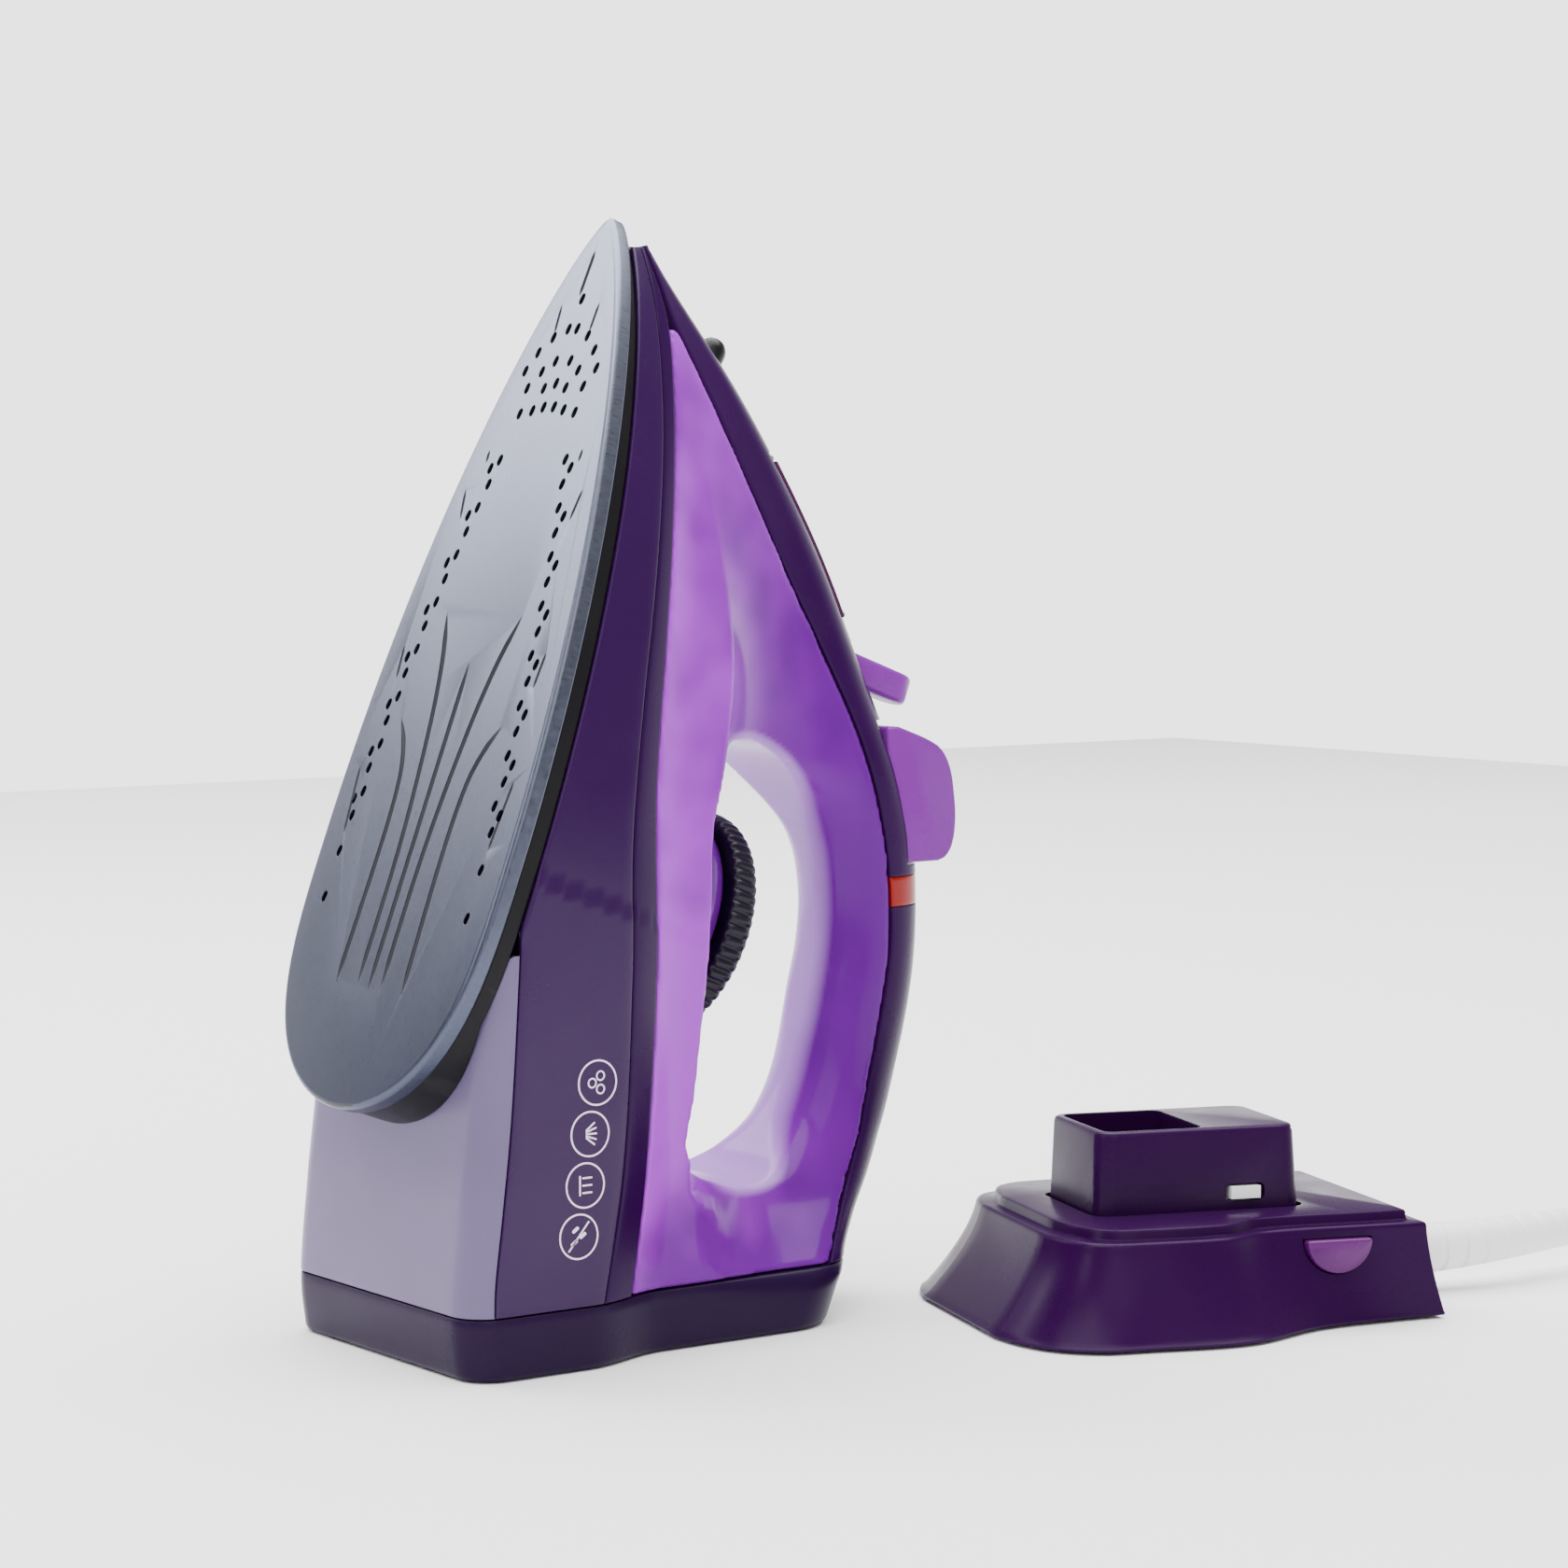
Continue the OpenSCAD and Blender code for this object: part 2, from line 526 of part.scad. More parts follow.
// Region of the lid: a strip of the cover's skin between two heights.
module lid_space(grow) {
    across(concat(
            [[back_x(lid_low) + 4, lid_low - 0.7 - grow]],
            [for (z = [lid_low : 4.25 : lid_high]) [back_x(z) + 4, z]],
            [[back_x(lid_high) + 4, lid_high + grow + 1.8],
             [back_x(lid_high) - lid_depth - 1.4, lid_high + grow + 1.8]],
            [for (z = [lid_high : -4.25 : lid_low]) [back_x(z) - lid_depth * 1.14 - grow, z]],
            [[back_x(lid_low) - lid_depth * 1.14 - grow, lid_low - 0.7 - grow]]),
            lid_half + grow);
}
module filler_lid() {
    color([0.36, 0.18, 0.42]) difference() {
        union() {
            intersection() {
                loft(rows(lid_low, lid_high, 10), function(z)
                    mix(back_x(z) - lid_depth * 1.14, back_x(z) + lid_proud, [0, 0.25, 0.5, 0.7, 0.85, 0.95, 1]),
                    -0.1 - lid_proud);
                translate([0, -lid_half, lid_low]) cube([120, 2 * lid_half, lid_high - lid_low]);
            }
            across([[back_x(190) - 2, 190], [back_x(193) + 0.4, 193], [back_x(190) + 3.6, 188.6],
                [back_x(190) - 1, 188.3]], 4.5);
            translate([lid_hinge[0], 0, lid_hinge[1]]) rotate([90, 0, 0])
                cylinder(h = 2 * knuckle_half, r = 1.9, center = true);
        }
        translate([lid_hinge[0], -15, lid_hinge[1]]) rotate([-90, 0, 0])
            cylinder(h = 30, r = 1 + clearance);
    }
}
module lid_pin() {
    color([0.7, 0.7, 0.72]) translate([lid_hinge[0], 0, lid_hinge[1]]) rotate([90, 0, 0])
        cylinder(h = 2 * pin_half - 0.4, r = 1, center = true);
}

// ---------------------------------------------------------------- steam lever and buttons

// Room for the lever's tab and its swing in the cover.
module lever_slot() {
    on_sole() translate([tab_base - 1, -11, tab_along - 5.9]) cube([40, 22, 11.3]);
}
module steam_lever() {
    color([0.6, 0.4, 0.7]) on_sole() difference() {
        union() {
            post(5, hub_base, hub_base + 5, rod_along);
            translate([hub_base + 0.5, -4, rod_along]) cube([4, 8, tab_along - rod_along]);
            translate([tab_base, -tab_half, tab_along - 4]) cube([27, 2 * tab_half, 8]);
            intersection() {
                translate([tab_base + 26.9, -tab_half, tab_along - 4]) cube([5, 2 * tab_half, 8]);
                translate([128, 0, tab_along - 10]) cylinder(h = 20, r = 9.3);
            }
        }
        post(rod_r, hub_base - 2, hub_base + 3, rod_along);
    }
}
module dosing_rod() {
    color([0.75, 0.73, 0.68]) on_sole() post(rod_r, element_z + 3.5, hub_base + 3, rod_along);
}

// Side view outline of the two push buttons, and the same carried on inwards by a length.
button_dir = [cos(sole_lean), -sin(sole_lean)];
function shifted(points, by) = [for (p = points) p - by * button_dir];
module button_body(grow) {
    hull() {
        across(button_side, button_half + grow);
        across(shifted([[100, 159.2 + grow], [104, 157.8 + grow], [106, 120 - grow], [103, 120 - grow]],
            button_travel + 3), button_half + grow);
    }
}
module one_button(side) {
    intersection() {
        across(concat(button_side, [[101.5, 122], [99, 150]]), button_half);
        translate([0, side > 0 ? 0.25 : -button_half, 0]) cube([200, button_half - 0.25, 300]);
    }
    on_sole() post(pump_r - 1.2, pump_top - 1.5, pump_top + 23, pump_along, side * pump_y);
}
module spray_button() { color([0.58, 0.38, 0.69]) one_button(-1); }
module steam_button() { color([0.58, 0.38, 0.69]) one_button(1); }
module pump(side) {
    on_sole() difference() {
        post(pump_r, pump_base, pump_top, pump_along, side * pump_y);
        post(pump_r - 1.2 + clearance, pump_base + 4, pump_top + 1, pump_along, side * pump_y);
    }
}
module spray_pump() { color([0.85, 0.85, 0.85]) pump(-1); }
module steam_pump() { color([0.85, 0.85, 0.85]) pump(1); }

function lens_side(grow) = [[90, 108.3 - grow], [130, 108.3 - grow], [130, 116.6 + grow],
    [90, 116.6 + grow]];
module indicator_lens() {
    color([0.75, 0.1, 0.04]) difference() {
        intersection() {
            loft(rows(104, 120, 4), function(z) mix(cover_x(z) + seam, back_x(z) + 0.4,
                [0, 0.3, 0.55, 0.76, 0.9, 0.97, 1]), -0.3);
            across(lens_side(0));
        }
        loft(rows(100, 124, 4), function(z) cover_columns(z, -4, wall), wall);
    }
}
module indicator_lamp() {
    color([0.9, 0.85, 0.8]) translate([104.5, 0, 112.4]) rotate([0, 90, 0]) {
        cylinder(h = 5, r = 2.4);
        translate([-4, -6, -1.6]) cube([8, 12, 1.6]);
    }
}

// ---------------------------------------------------------------- thermostat dial

module dial_pedestal() {
    color([0.45, 0.12, 0.68]) intersection() {
        on_sole() difference() {
            translate([0, 0, dial_along]) rotate([0, 90, 0]) rotate_extrude()
                polygon([[shaft_r + 0.4, 60], [31, 60], [30.6, 72], [29.4, 76.5], [27, 80.2],
                    [shaft_r + 0.4, 80.2]]);
        }
        across(closed_curve(hand_opening, 3));
    }
}
// Low turned dial with a ring of grip ribs and a raised finger bar.
module dial() {
    color([0.08, 0.04, 0.12]) on_sole() translate([0, 0, dial_along]) rotate([0, 90, 0]) {
        difference() {
            union() {
                translate([0, 0, dial_top - dial_h]) rotate_extrude() polygon([[0, 0],
                    [dial_r - 2, 0], [dial_r, 1.2], [dial_r, dial_h - 2.2], [dial_r - 1.4, dial_h - 0.6],
                    [dial_r - 3, dial_h], [dial_r - 6, dial_h - 0.8], [0, dial_h - 0.8]]);
            }
            for (k = [0 : dial_ribs - 1]) rotate(360 * k / dial_ribs)
                translate([dial_r + 0.35, 0, dial_top - dial_h + 2]) cylinder(h = dial_h, r = 0.9,
                    $fn = 16);
            translate([0, 0, dial_top - dial_h - 1]) cylinder(h = 5, r = shaft_r);
        }
    }
}
module dial_shaft() {
    color([0.75, 0.73, 0.68]) on_sole() post(shaft_r, 40.2, dial_top - dial_h + 4, dial_along);
}
module thermostat() {
    color([0.82, 0.8, 0.74]) on_sole() {
        difference() {
            union() {
                translate([element_z + 0.1, -11, dial_along - 12]) cube([5, 22, 24]);
                post(9, element_z + 5.1, 36, dial_along);
                post(5, 36, 40, dial_along);
            }
        }
    }
}
module thermal_fuse() {
    color([0.7, 0.68, 0.6]) on_sole() translate([element_z + 3.3, -17.5, 60]) cylinder(h = 24, r = 2.4);
}
module terminal_block() {
    color([0.9, 0.88, 0.82]) difference() {
        translate([-30, -15, 38]) cube([14, 30, 12]);
        for (y = [-9, 0, 9]) translate([-23, y, 36]) cylinder(h = 20, r = 1.6);
    }
}
// Leads from the heel contacts to the terminal block.
module inner_wires() {
    color([0.8, 0.35, 0.2]) for (k = [0 : 2])
        sweep([for (t = [0 : 0.2 : 1]) [contact_x, contact_rows[k] + (9 * (k - 1) - contact_rows[k])
            * t, 32.3 + 3.4 * t]], 1.1, 8);
}

// ---------------------------------------------------------------- power base

module on_dock() {
    translate([dock_at[0], dock_at[1], 0]) rotate([0, 0, dock_turn]) children();
}
function flare(z) = pow(clamp01(1 - z / dock_ledge_h), 1.5);
function dock_ring(z, inset, n = 16) =
    let(f = flare(z), a = dock_front * (1 - f) - front_bulge * f + inset, b = dock_length - 6 * (1 - f) - inset,
        side = [for (i = [0 : n]) let(t = i / n, q = (1 - cos(180 * t)) / 2,
            foot = curve(dock_length * q, foot_half),
            ledge = curve(dock_front + (113 - dock_front) * q, ledge_half))
            [a + (b - a) * q, foot * f + ledge * (1 - f) - inset]])
    concat(side, [for (i = [n : -1 : 0]) [side[i][0], -side[i][1]]]);
// Closed solid from rings that are symmetric about Y = 0, one at each level.
module stack(levels, rings) {
    n = len(rings[0]);
    m = len(levels);
    top = (m - 1) * n;
    polyhedron([for (j = [0 : m - 1]) for (p = rings[j]) [p[0], p[1], levels[j]]], concat(
        [for (j = [0 : m - 2]) for (i = [0 : n - 1]) let(k = (i + 1) % n) each
            [[j * n + i, j * n + k, (j + 1) * n + k], [j * n + i, (j + 1) * n + k, (j + 1) * n + i]]],
        [for (i = [0 : n / 2 - 2]) let(k = n - 1 - i) each
            [[i, k, i + 1], [i + 1, k, k - 1],
             [top + i, top + i + 1, top + k], [top + i + 1, top + k - 1, top + k]]]));
}
function dock_button_outline(grow) = [for (i = [0 : 12]) let(t = 180 + 15 * i)
    [86.5 + (9.6 + grow) * cos(t), 23.4 + grow * 0.3 + (9.2 + grow) * sin(t)]];
module dock_shell() {
    color([0.24, 0.09, 0.36]) on_dock() difference() {
        union() {
            stack([0.5, 2, 7, 13, 19, dock_ledge_h],
                [for (z = [0, 2, 7, 13, 19, dock_ledge_h]) dock_ring(z, 0)]);
            stack([dock_ledge_h - 2, plateau_h], [for (k = [0, 1]) dock_ring(dock_ledge_h, 4)]);
        }
        stack([-1, 2, 7, 13, 19, dock_ledge_h - wall],
            [for (z = [0, 2, 7, 13, 19, dock_ledge_h - wall]) dock_ring(z, wall)]);
        translate([0, 0, 20]) linear_extrude(20) polygon(rounded_box([24, -20.5], [86, 20.5], 5));
        translate([0, -32, 0]) rotate([90, 0, 0]) linear_extrude(30) polygon(dock_button_outline(0.5));
        translate([100, 0, cord_exit_h]) rotate([0, 90, 0]) cylinder(h = 40, r = 8.1);
    }
}
module dock_tower() {
    color([0.26, 0.1, 0.38]) on_dock() difference() {
        union() {
            translate([0, 0, 21]) linear_extrude(2.6) polygon(rounded_box([22, -23], [88, 23], 5));
            translate([0, 0, 20.4]) linear_extrude(24) polygon(rounded_box([25.2, -19.6], [84.8, 19.6], 5));
            translate([0, 0, 44]) linear_extrude(dock_tower_h - 44)
                polygon(rounded_box([25.8, -19.1], [83.4, 19.1], 5));
        }
        translate([0, 0, 33]) linear_extrude(30) polygon(rounded_box([28.4, -16.5], [57, 16.5], 3));
        translate([0, 0, 18]) linear_extrude(28) polygon(rounded_box([59.4, -17], [82, 17], 3));
        translate([0, 0, 18]) linear_extrude(12.4) polygon(rounded_box([28.4, -17], [60, 17], 3));
        translate([62, -24, 31.6]) cube([11.6, 9, 4.6]);
        translate([92, 0, dock_tower_h]) rotate([0, 38, 0]) cube([14, 60, 14], center = true);
        for (y = contact_rows) translate([42, y, 20]) cylinder(h = 20, r = 2);
    }
}
module dock_base_plate() {
    color([0.12, 0.08, 0.16]) on_dock() difference() {
        translate([0, 0, 1.2]) linear_extrude(2) polygon(dock_ring(1.2, wall + 1.6));
        for (p = dock_feet_at) translate([p[0], p[1], 0]) cylinder(h = 8, r = 2.1);
    }
}
module dock_feet() {
    color([0.05, 0.05, 0.05]) on_dock() for (p = dock_feet_at) translate([p[0], p[1], 0]) {
        cylinder(h = 1.15, r = 5);
        cylinder(h = 3, r = 2);
    }
}
module dock_screws() {
    color([0.6, 0.6, 0.62]) on_dock() for (p = dock_feet_at) translate([p[0], p[1], 3.25]) {
        cylinder(h = 1.6, r = 3.2);
        cylinder(h = 9, r = 1.4);
    }
}
module dock_contacts() {
    color([0.75, 0.62, 0.3]) on_dock() for (y = contact_rows) translate([42, y, 26]) {
        cylinder(h = 19, r = 1.9);
    }
}
module dock_terminals() {
    color([0.88, 0.86, 0.8]) on_dock() {
        translate([35, -13, 12]) cube([14, 26, 13.8]);
    }
}
// Half-moon release button in the side of the base, with its arm up to the latch.
module dock_button() {
    color([0.45, 0.1, 0.52]) on_dock() intersection() {
        translate([0, -29, 0]) rotate([90, 0, 0]) linear_extrude(30) polygon(dock_button_outline(0));
        translate([70, -40.6, 0]) cube([40, 11, 40]);
    }
}
// White latch hook that shows in the tower's side window.
module dock_latch() {
    color([0.93, 0.93, 0.94]) on_dock() {
        translate([63.5, -20.4, 32.2]) cube([8.6, 6, 3.4]);
        translate([63.5, -16.2, 23]) cube([8.6, 2, 9.4]);
    }
}
// Ribbed, tapered guard where the cord leaves the base.
function guard_point(q) = let(a = dock_turn)
    [dock_at[0] + q[0] * cos(a) - q[1] * sin(a), dock_at[1] + q[0] * sin(a) + q[1] * cos(a),
        cord_exit_h + q[2]];
module strain_relief() {
    color([0.92, 0.91, 0.93]) {
        sweep([for (i = [0 : 16]) let(u = 117 + (181.5 - 117) * i / 16)
            guard_point([u, curve(u, guard_side), curve(u, guard_rise)])], guard_r[0], 16, guard_r[1]);
        on_dock() translate([112.3, 0, cord_exit_h]) rotate([0, 90, 0]) cylinder(h = 5.2, r = 7.5);
    }
}

// ---------------------------------------------------------------- cord, coil and plug

module cord() {
    color([0.93, 0.93, 0.94]) {
        sweep(cord_lead, cord_d / 2, 8);
        sweep(cord_tail, cord_d / 2, 8);
    }
}
module cord_coil() {
    color([0.93, 0.93, 0.94]) translate([coil_at[0], coil_at[1], 0]) rotate_extrude($fn = 64)
        translate([coil_r, 0]) polygon([[-10.4, 1], [-9, 0.05], [9, 0.05], [10.4, 1], [10.4, 13],
            [8.4, 15], [6.6, 19.4], [4.6, 20.2], [2.4, 20.2], [0.4, 19.4], [-1.4, 15], [-9, 14],
            [-10.4, 13]]);
}
module cord_tie() {
    color([0.15, 0.15, 0.17]) translate([coil_at[0], coil_at[1], 0]) difference() {
        translate([coil_r - 12.4, -6, 0.05]) cube([24.8, 12, 22.2]);
        rotate_extrude($fn = 64) translate([coil_r, 0]) polygon([[-10.9, -1], [10.9, -1],
            [10.9, 14], [8.4, 19.8], [6.8, 20.7], [0, 20.7], [-2.4, 16], [-10.9, 14.4]]);
    }
}
module at_plug() {
    translate(plug_at) rotate([0, 0, plug_turn]) children();
}
module plug_body() {
    color([0.93, 0.93, 0.94]) at_plug() {
        rotate([0, 90, 0]) cylinder(h = 14, r1 = 4.6, r2 = 6.4);
        translate([14, 0, 0]) rotate([90, 0, 90]) linear_extrude(24)
            polygon(rounded_box([-15, -8.9], [15, 8.9], 6));
    }
}
module plug_pins() {
    color([0.75, 0.72, 0.62]) at_plug() {
        for (side = [-1, 1]) translate([38, side * 7.5, 3]) rotate([side * 30, 0, 0])
            translate([9, 0, 0]) cube([18, 1.8, 6.4], center = true);
        translate([47, 0, -4.4]) cube([18, 1.8, 6.4], center = true);
    }
}

soleplate();
heater_casting();
heating_element();
steam_chamber_cover();
heat_skirt();
lower_body();
rear_panel();
trim_strip();
tank_shell();
handle_core();
top_cover();
heel_band();
socket_cup();
heel_contacts();
heel_screws();
spray_nozzle();
filler_neck();
filler_lid();
lid_pin();
steam_lever();
dosing_rod();
spray_button();
steam_button();
spray_pump();
steam_pump();
indicator_lens();
indicator_lamp();
dial_pedestal();
dial();
dial_shaft();
thermostat();
thermal_fuse();
terminal_block();
inner_wires();
dock_shell();
dock_tower();
dock_base_plate();
dock_feet();
dock_contacts();
dock_terminals();
dock_button();
dock_latch();
dock_screws();
strain_relief();
cord();
cord_coil();
cord_tie();
plug_body();
plug_pins();
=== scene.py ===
"""Clothes iron on its heel beside its power base, with cord, coil and plug."""
import math

import bpy
import bmesh
import numpy as np
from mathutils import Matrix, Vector
from mathutils.kdtree import KDTree


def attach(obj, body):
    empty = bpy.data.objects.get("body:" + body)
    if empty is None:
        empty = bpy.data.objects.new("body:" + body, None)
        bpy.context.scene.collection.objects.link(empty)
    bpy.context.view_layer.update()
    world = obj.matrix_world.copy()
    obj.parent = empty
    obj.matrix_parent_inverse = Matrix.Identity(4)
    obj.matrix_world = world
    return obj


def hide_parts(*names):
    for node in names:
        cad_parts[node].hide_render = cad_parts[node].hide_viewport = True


MM = 0.001
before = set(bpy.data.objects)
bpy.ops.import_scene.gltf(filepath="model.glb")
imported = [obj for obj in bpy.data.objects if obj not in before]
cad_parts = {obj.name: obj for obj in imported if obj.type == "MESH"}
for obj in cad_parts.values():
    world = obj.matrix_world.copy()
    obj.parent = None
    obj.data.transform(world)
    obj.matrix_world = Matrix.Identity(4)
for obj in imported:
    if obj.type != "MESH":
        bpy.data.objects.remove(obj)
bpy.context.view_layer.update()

# ------------------------------------------------------------------ camera

CAMERA_AT = Vector((-0.58746, -0.90589, 0.22216))
CAMERA_LOOKS = Vector((0.58753, 0.80610, -0.07077))
SENSOR_WIDTH, LENS, SIGHT = 36.0, 94.08, 20

camera_data = bpy.data.cameras.new("camera")
camera_data.sensor_width = SENSOR_WIDTH
camera_data.lens = LENS
camera_data.clip_end = SIGHT
camera = bpy.data.objects.new("camera", camera_data)
bpy.context.scene.collection.objects.link(camera)
camera.location = CAMERA_AT
camera.rotation_euler = CAMERA_LOOKS.to_track_quat("-Z", "Y").to_euler()
bpy.context.scene.camera = camera

# ------------------------------------------------------------------ mesh helpers

WELD = 1e-6


def smooth_faces(mesh, angle=None):
    for face in mesh.polygons:
        face.use_smooth = True
    if angle is not None:
        mesh.set_sharp_from_angle(angle=math.radians(angle))


def make(name, points, faces, material, body, angle=None):
    """A mesh piece from points in millimetres; its faces are turned to point outwards."""
    mesh = bpy.data.meshes.new(name)
    mesh.from_pydata([tuple(float(c) * MM for c in p) for p in points], [],
                     [tuple(int(i) for i in f) for f in faces])
    mesh.validate()
    bm = bmesh.new()
    bm.from_mesh(mesh)
    bmesh.ops.remove_doubles(bm, verts=bm.verts, dist=WELD)
    bmesh.ops.recalc_face_normals(bm, faces=bm.faces)
    bm.to_mesh(mesh)
    bm.free()
    obj = bpy.data.objects.new(name, mesh)
    bpy.context.scene.collection.objects.link(obj)
    smooth_faces(mesh, angle)
    if material is not None:
        mesh.materials.append(material)
    if body is not None:
        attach(obj, body)
    return obj


def grid_faces(m, n, closed_i=False, closed_j=False, start=0):
    """Faces of a grid of m by n points, which may close on itself either way."""
    out = []
    for i in range(m if closed_i else m - 1):
        a, b = start + i * n, start + (i + 1) % m * n
        for j in range(n if closed_j else n - 1):
            c, d = j, (j + 1) % n
            out.append((a + c, a + d, b + d, b + c))
    return out


def bake(obj):
    """Applies the modifiers of an object to its mesh."""
    graph = bpy.context.evaluated_depsgraph_get()
    new = bpy.data.meshes.new_from_object(obj.evaluated_get(graph))
    obj.modifiers.clear()
    old = obj.data
    obj.data = new
    bpy.data.meshes.remove(old)


def boolean(obj, operation, tools, angle):
    """Combines obj with closed tools, and deletes them."""
    for tool in tools:
        mod = obj.modifiers.new("boolean", "BOOLEAN")
        mod.operation = operation
        mod.solver = "EXACT"
        mod.object = tool
    bake(obj)
    for tool in tools:
        bpy.data.objects.remove(tool)
    smooth_faces(obj.data, angle)


def cut(obj, *tools, angle=32):
    """Takes closed tools away from obj."""
    boolean(obj, "DIFFERENCE", tools, angle)


def bevelled(obj, width, segments=3, angle=40, sharp=35):
    """Rounds the edges of obj that turn by more than an angle."""
    mod = obj.modifiers.new("bevel", "BEVEL")
    mod.width = width * MM
    mod.segments = segments
    mod.limit_method = "ANGLE"
    mod.angle_limit = math.radians(angle)
    mod.use_clamp_overlap = True
    mod.harden_normals = True
    bake(obj)
    smooth_faces(obj.data, sharp)


def round_steps(n):
    """Cosine and sine of n even steps round a circle."""
    return [(math.cos(2 * math.pi * k / n), math.sin(2 * math.pi * k / n)) for k in range(n)]


def prism(name, outline, low, high, to_point, material=None, body=None, angle=35):
    """Closed prism over a flat outline [(a, b)]; to_point(a, b, h) gives the place."""
    n = len(outline)
    points = [to_point(a, b, h) for h in (low, high) for a, b in outline]
    faces = [tuple(range(n)), tuple(range(2 * n - 1, n - 1, -1))]
    faces += [(k, (k + 1) % n, n + (k + 1) % n, n + k) for k in range(n)]
    return make(name, points, faces, material, body, angle)


def across(x, z, y):
    return (x, y, z)


def rings_solid(name, rings, material, body, angle=None):
    """Closed solid through rings of equal length, one after the other."""
    m, n = len(rings), len(rings[0])
    faces = grid_faces(m, n, closed_j=True)
    faces += [tuple(range(n)), tuple(range((m - 1) * n, m * n))]
    return make(name, [p for ring in rings for p in ring], faces, material, body, angle)


def lathe(name, profile, centre, axis, material, body, steps=96, angle=None, ripple=None):
    """Turned piece: profile [(r, h)] about an axis square to Y; ripple changes its radius."""
    axis, side = Vector(axis).normalized(), Vector((0, 1, 0))
    other = axis.cross(side)
    centre = Vector(centre)
    rings = []
    for r, h in profile:
        ring = []
        for i in range(steps):
            t = 2 * math.pi * i / steps
            rr = ripple(r, h, t) if ripple else r
            ring.append(centre + axis * h + (side * math.cos(t) + other * math.sin(t)) * rr)
        rings.append(ring)
    return rings_solid(name, rings, material, body, angle)


def tube(name, path, radius, material, body, sides=16, angle=None):
    """Closed tube along a route, with one radius or one at each point."""
    path = [Vector(p) for p in path]
    n = len(path)
    radii = radius if hasattr(radius, "__len__") else [radius] * n
    rings, up = [], Vector((0, 0, 1))
    for i in range(n):
        d = (path[min(n - 1, i + 1)] - path[max(0, i - 1)]).normalized()
        up = (up - d * up.dot(d)).normalized()
        v = d.cross(up)
        rings.append([path[i] + (up * c + v * s) * radii[i] for c, s in round_steps(sides)])
    return rings_solid(name, rings, material, body, angle)


# ------------------------------------------------------------------ shape of the iron

LEAN = math.radians(20.46)
SOLE_REAR = (-70.03, 66.0)
SOLE_LENGTH, SOLE_HALF, SOLE_WIDEST = 244.4, 46.2, 68.3
SOLE_THICK = 5.0
WALL, SEAM, HEEL_H, SIDE_STEP = 2.6, 0.3, 16.0, 7.6
CORNER_R, CORNER_TOP, GRIP_R, BACK_R = 10.0, 112, 16, 20
ALONG = Vector((math.sin(LEAN), 0, math.cos(LEAN)))
AWAY = Vector((math.cos(LEAN), 0, -math.sin(LEAN)))


def on_sole(n, y, s):
    """Place of a point n off the soleplate, y across and s along it."""
    return Vector((SOLE_REAR[0], y, SOLE_REAR[1])) + AWAY * n + ALONG * s


class Line:
    """Smooth curve through a few [a, b] points, held at its end values outside them."""

    def __init__(self, points):
        p = np.array(points, float)
        self.a, self.b = p[:, 0], p[:, 1]
        m = np.empty(len(p))
        m[0] = (p[1, 1] - p[0, 1]) / (p[1, 0] - p[0, 0])
        m[-1] = (p[-1, 1] - p[-2, 1]) / (p[-1, 0] - p[-2, 0])
        m[1:-1] = (p[2:, 1] - p[:-2, 1]) / (p[2:, 0] - p[:-2, 0])
        self.m = m

    def __call__(self, a):
        a = np.clip(np.asarray(a, float), self.a[0], self.a[-1])
        i = np.clip(np.searchsorted(self.a, a, side="right") - 1, 0, len(self.a) - 2)
        h = self.a[i + 1] - self.a[i]
        t = (a - self.a[i]) / h
        t2, t3 = t * t, t * t * t
        return ((2 * t3 - 3 * t2 + 1) * self.b[i] + (t3 - 2 * t2 + t) * h * self.m[i]
                + (3 * t2 - 2 * t3) * self.b[i + 1] + (t3 - t2) * h * self.m[i + 1])


rear_x = Line([[0, -56], [14, -57.5], [43, -55], [66, -52.3], [101, -50], [120, -49]])
corner_x = Line([[14, -50], [24, -49.7], [43, -47.4], [66, -44.8], [101, -42.4], [118, -41.6]])
strip_x = Line([[14, -17.5], [50, -11], [100, -8], [135, -7.2], [169, -2], [205, 6.5], [239, 14.5],
                [268, 20.2], [288, 22.6]])
tank_x = Line([[14, -6.5], [50, -1.5], [100, 2], [145, 2.6], [181, 7.8], [217, 14.8], [249, 21.3],
               [268, 24.5], [288, 23.8]])
deck_x = Line([[14, 13], [50, 15], [72, 17], [108, 21.6], [132, 23], [149, 27], [180, 32],
               [217, 30], [249, 27], [268, 25.4]])
grip_x = Line([[14, 44], [36, 56], [61, 70.5], [87, 77], [100, 80], [113, 80.7], [126, 78],
               [141, 69], [152, 58], [180, 52], [217, 42], [249, 31], [268, 26]])
cover_x = Line([[14, 60], [26, 70.5], [38, 80.5], [50, 87.7], [76, 95], [101, 99], [127, 96.5],
                [153, 88.5], [179, 75], [204, 59.5], [229, 46], [249, 36], [262, 29.5],
                [268, 26.8], [288, 24.1]])
back_x = Line([[0, 68], [16, 75], [26, 84], [36, 94.5], [48, 102.3], [60, 107], [85, 113.5],
               [105, 115.3], [125, 114.2], [138, 110.7], [151, 106], [178, 93], [217, 73],
               [249, 54], [279, 32], [289, 26]])
skirt_depth = Line([[91, 10.7], [220, 9.7], [258, 8.4], [288, 6.6]])
handle_half = Line([[14, 38.9], [26, 29], [36, 21.5], [48, 17], [60, 15], [100, 14.6], [150, 16]])
column_half = Line([[150, 16], [178, 15.5], [204, 15], [229, 13], [249, 10.5], [268, 7.5],
                    [288, 4.2]])
column_power = Line([[130, 14], [156, 6], [170, 4], [200, 2], [230, 1.3], [288, 1]])
back_round = Line([[0, 20], [36, 18], [60, 17.5], [150, 17], [200, 12], [250, 9], [288, 4]])
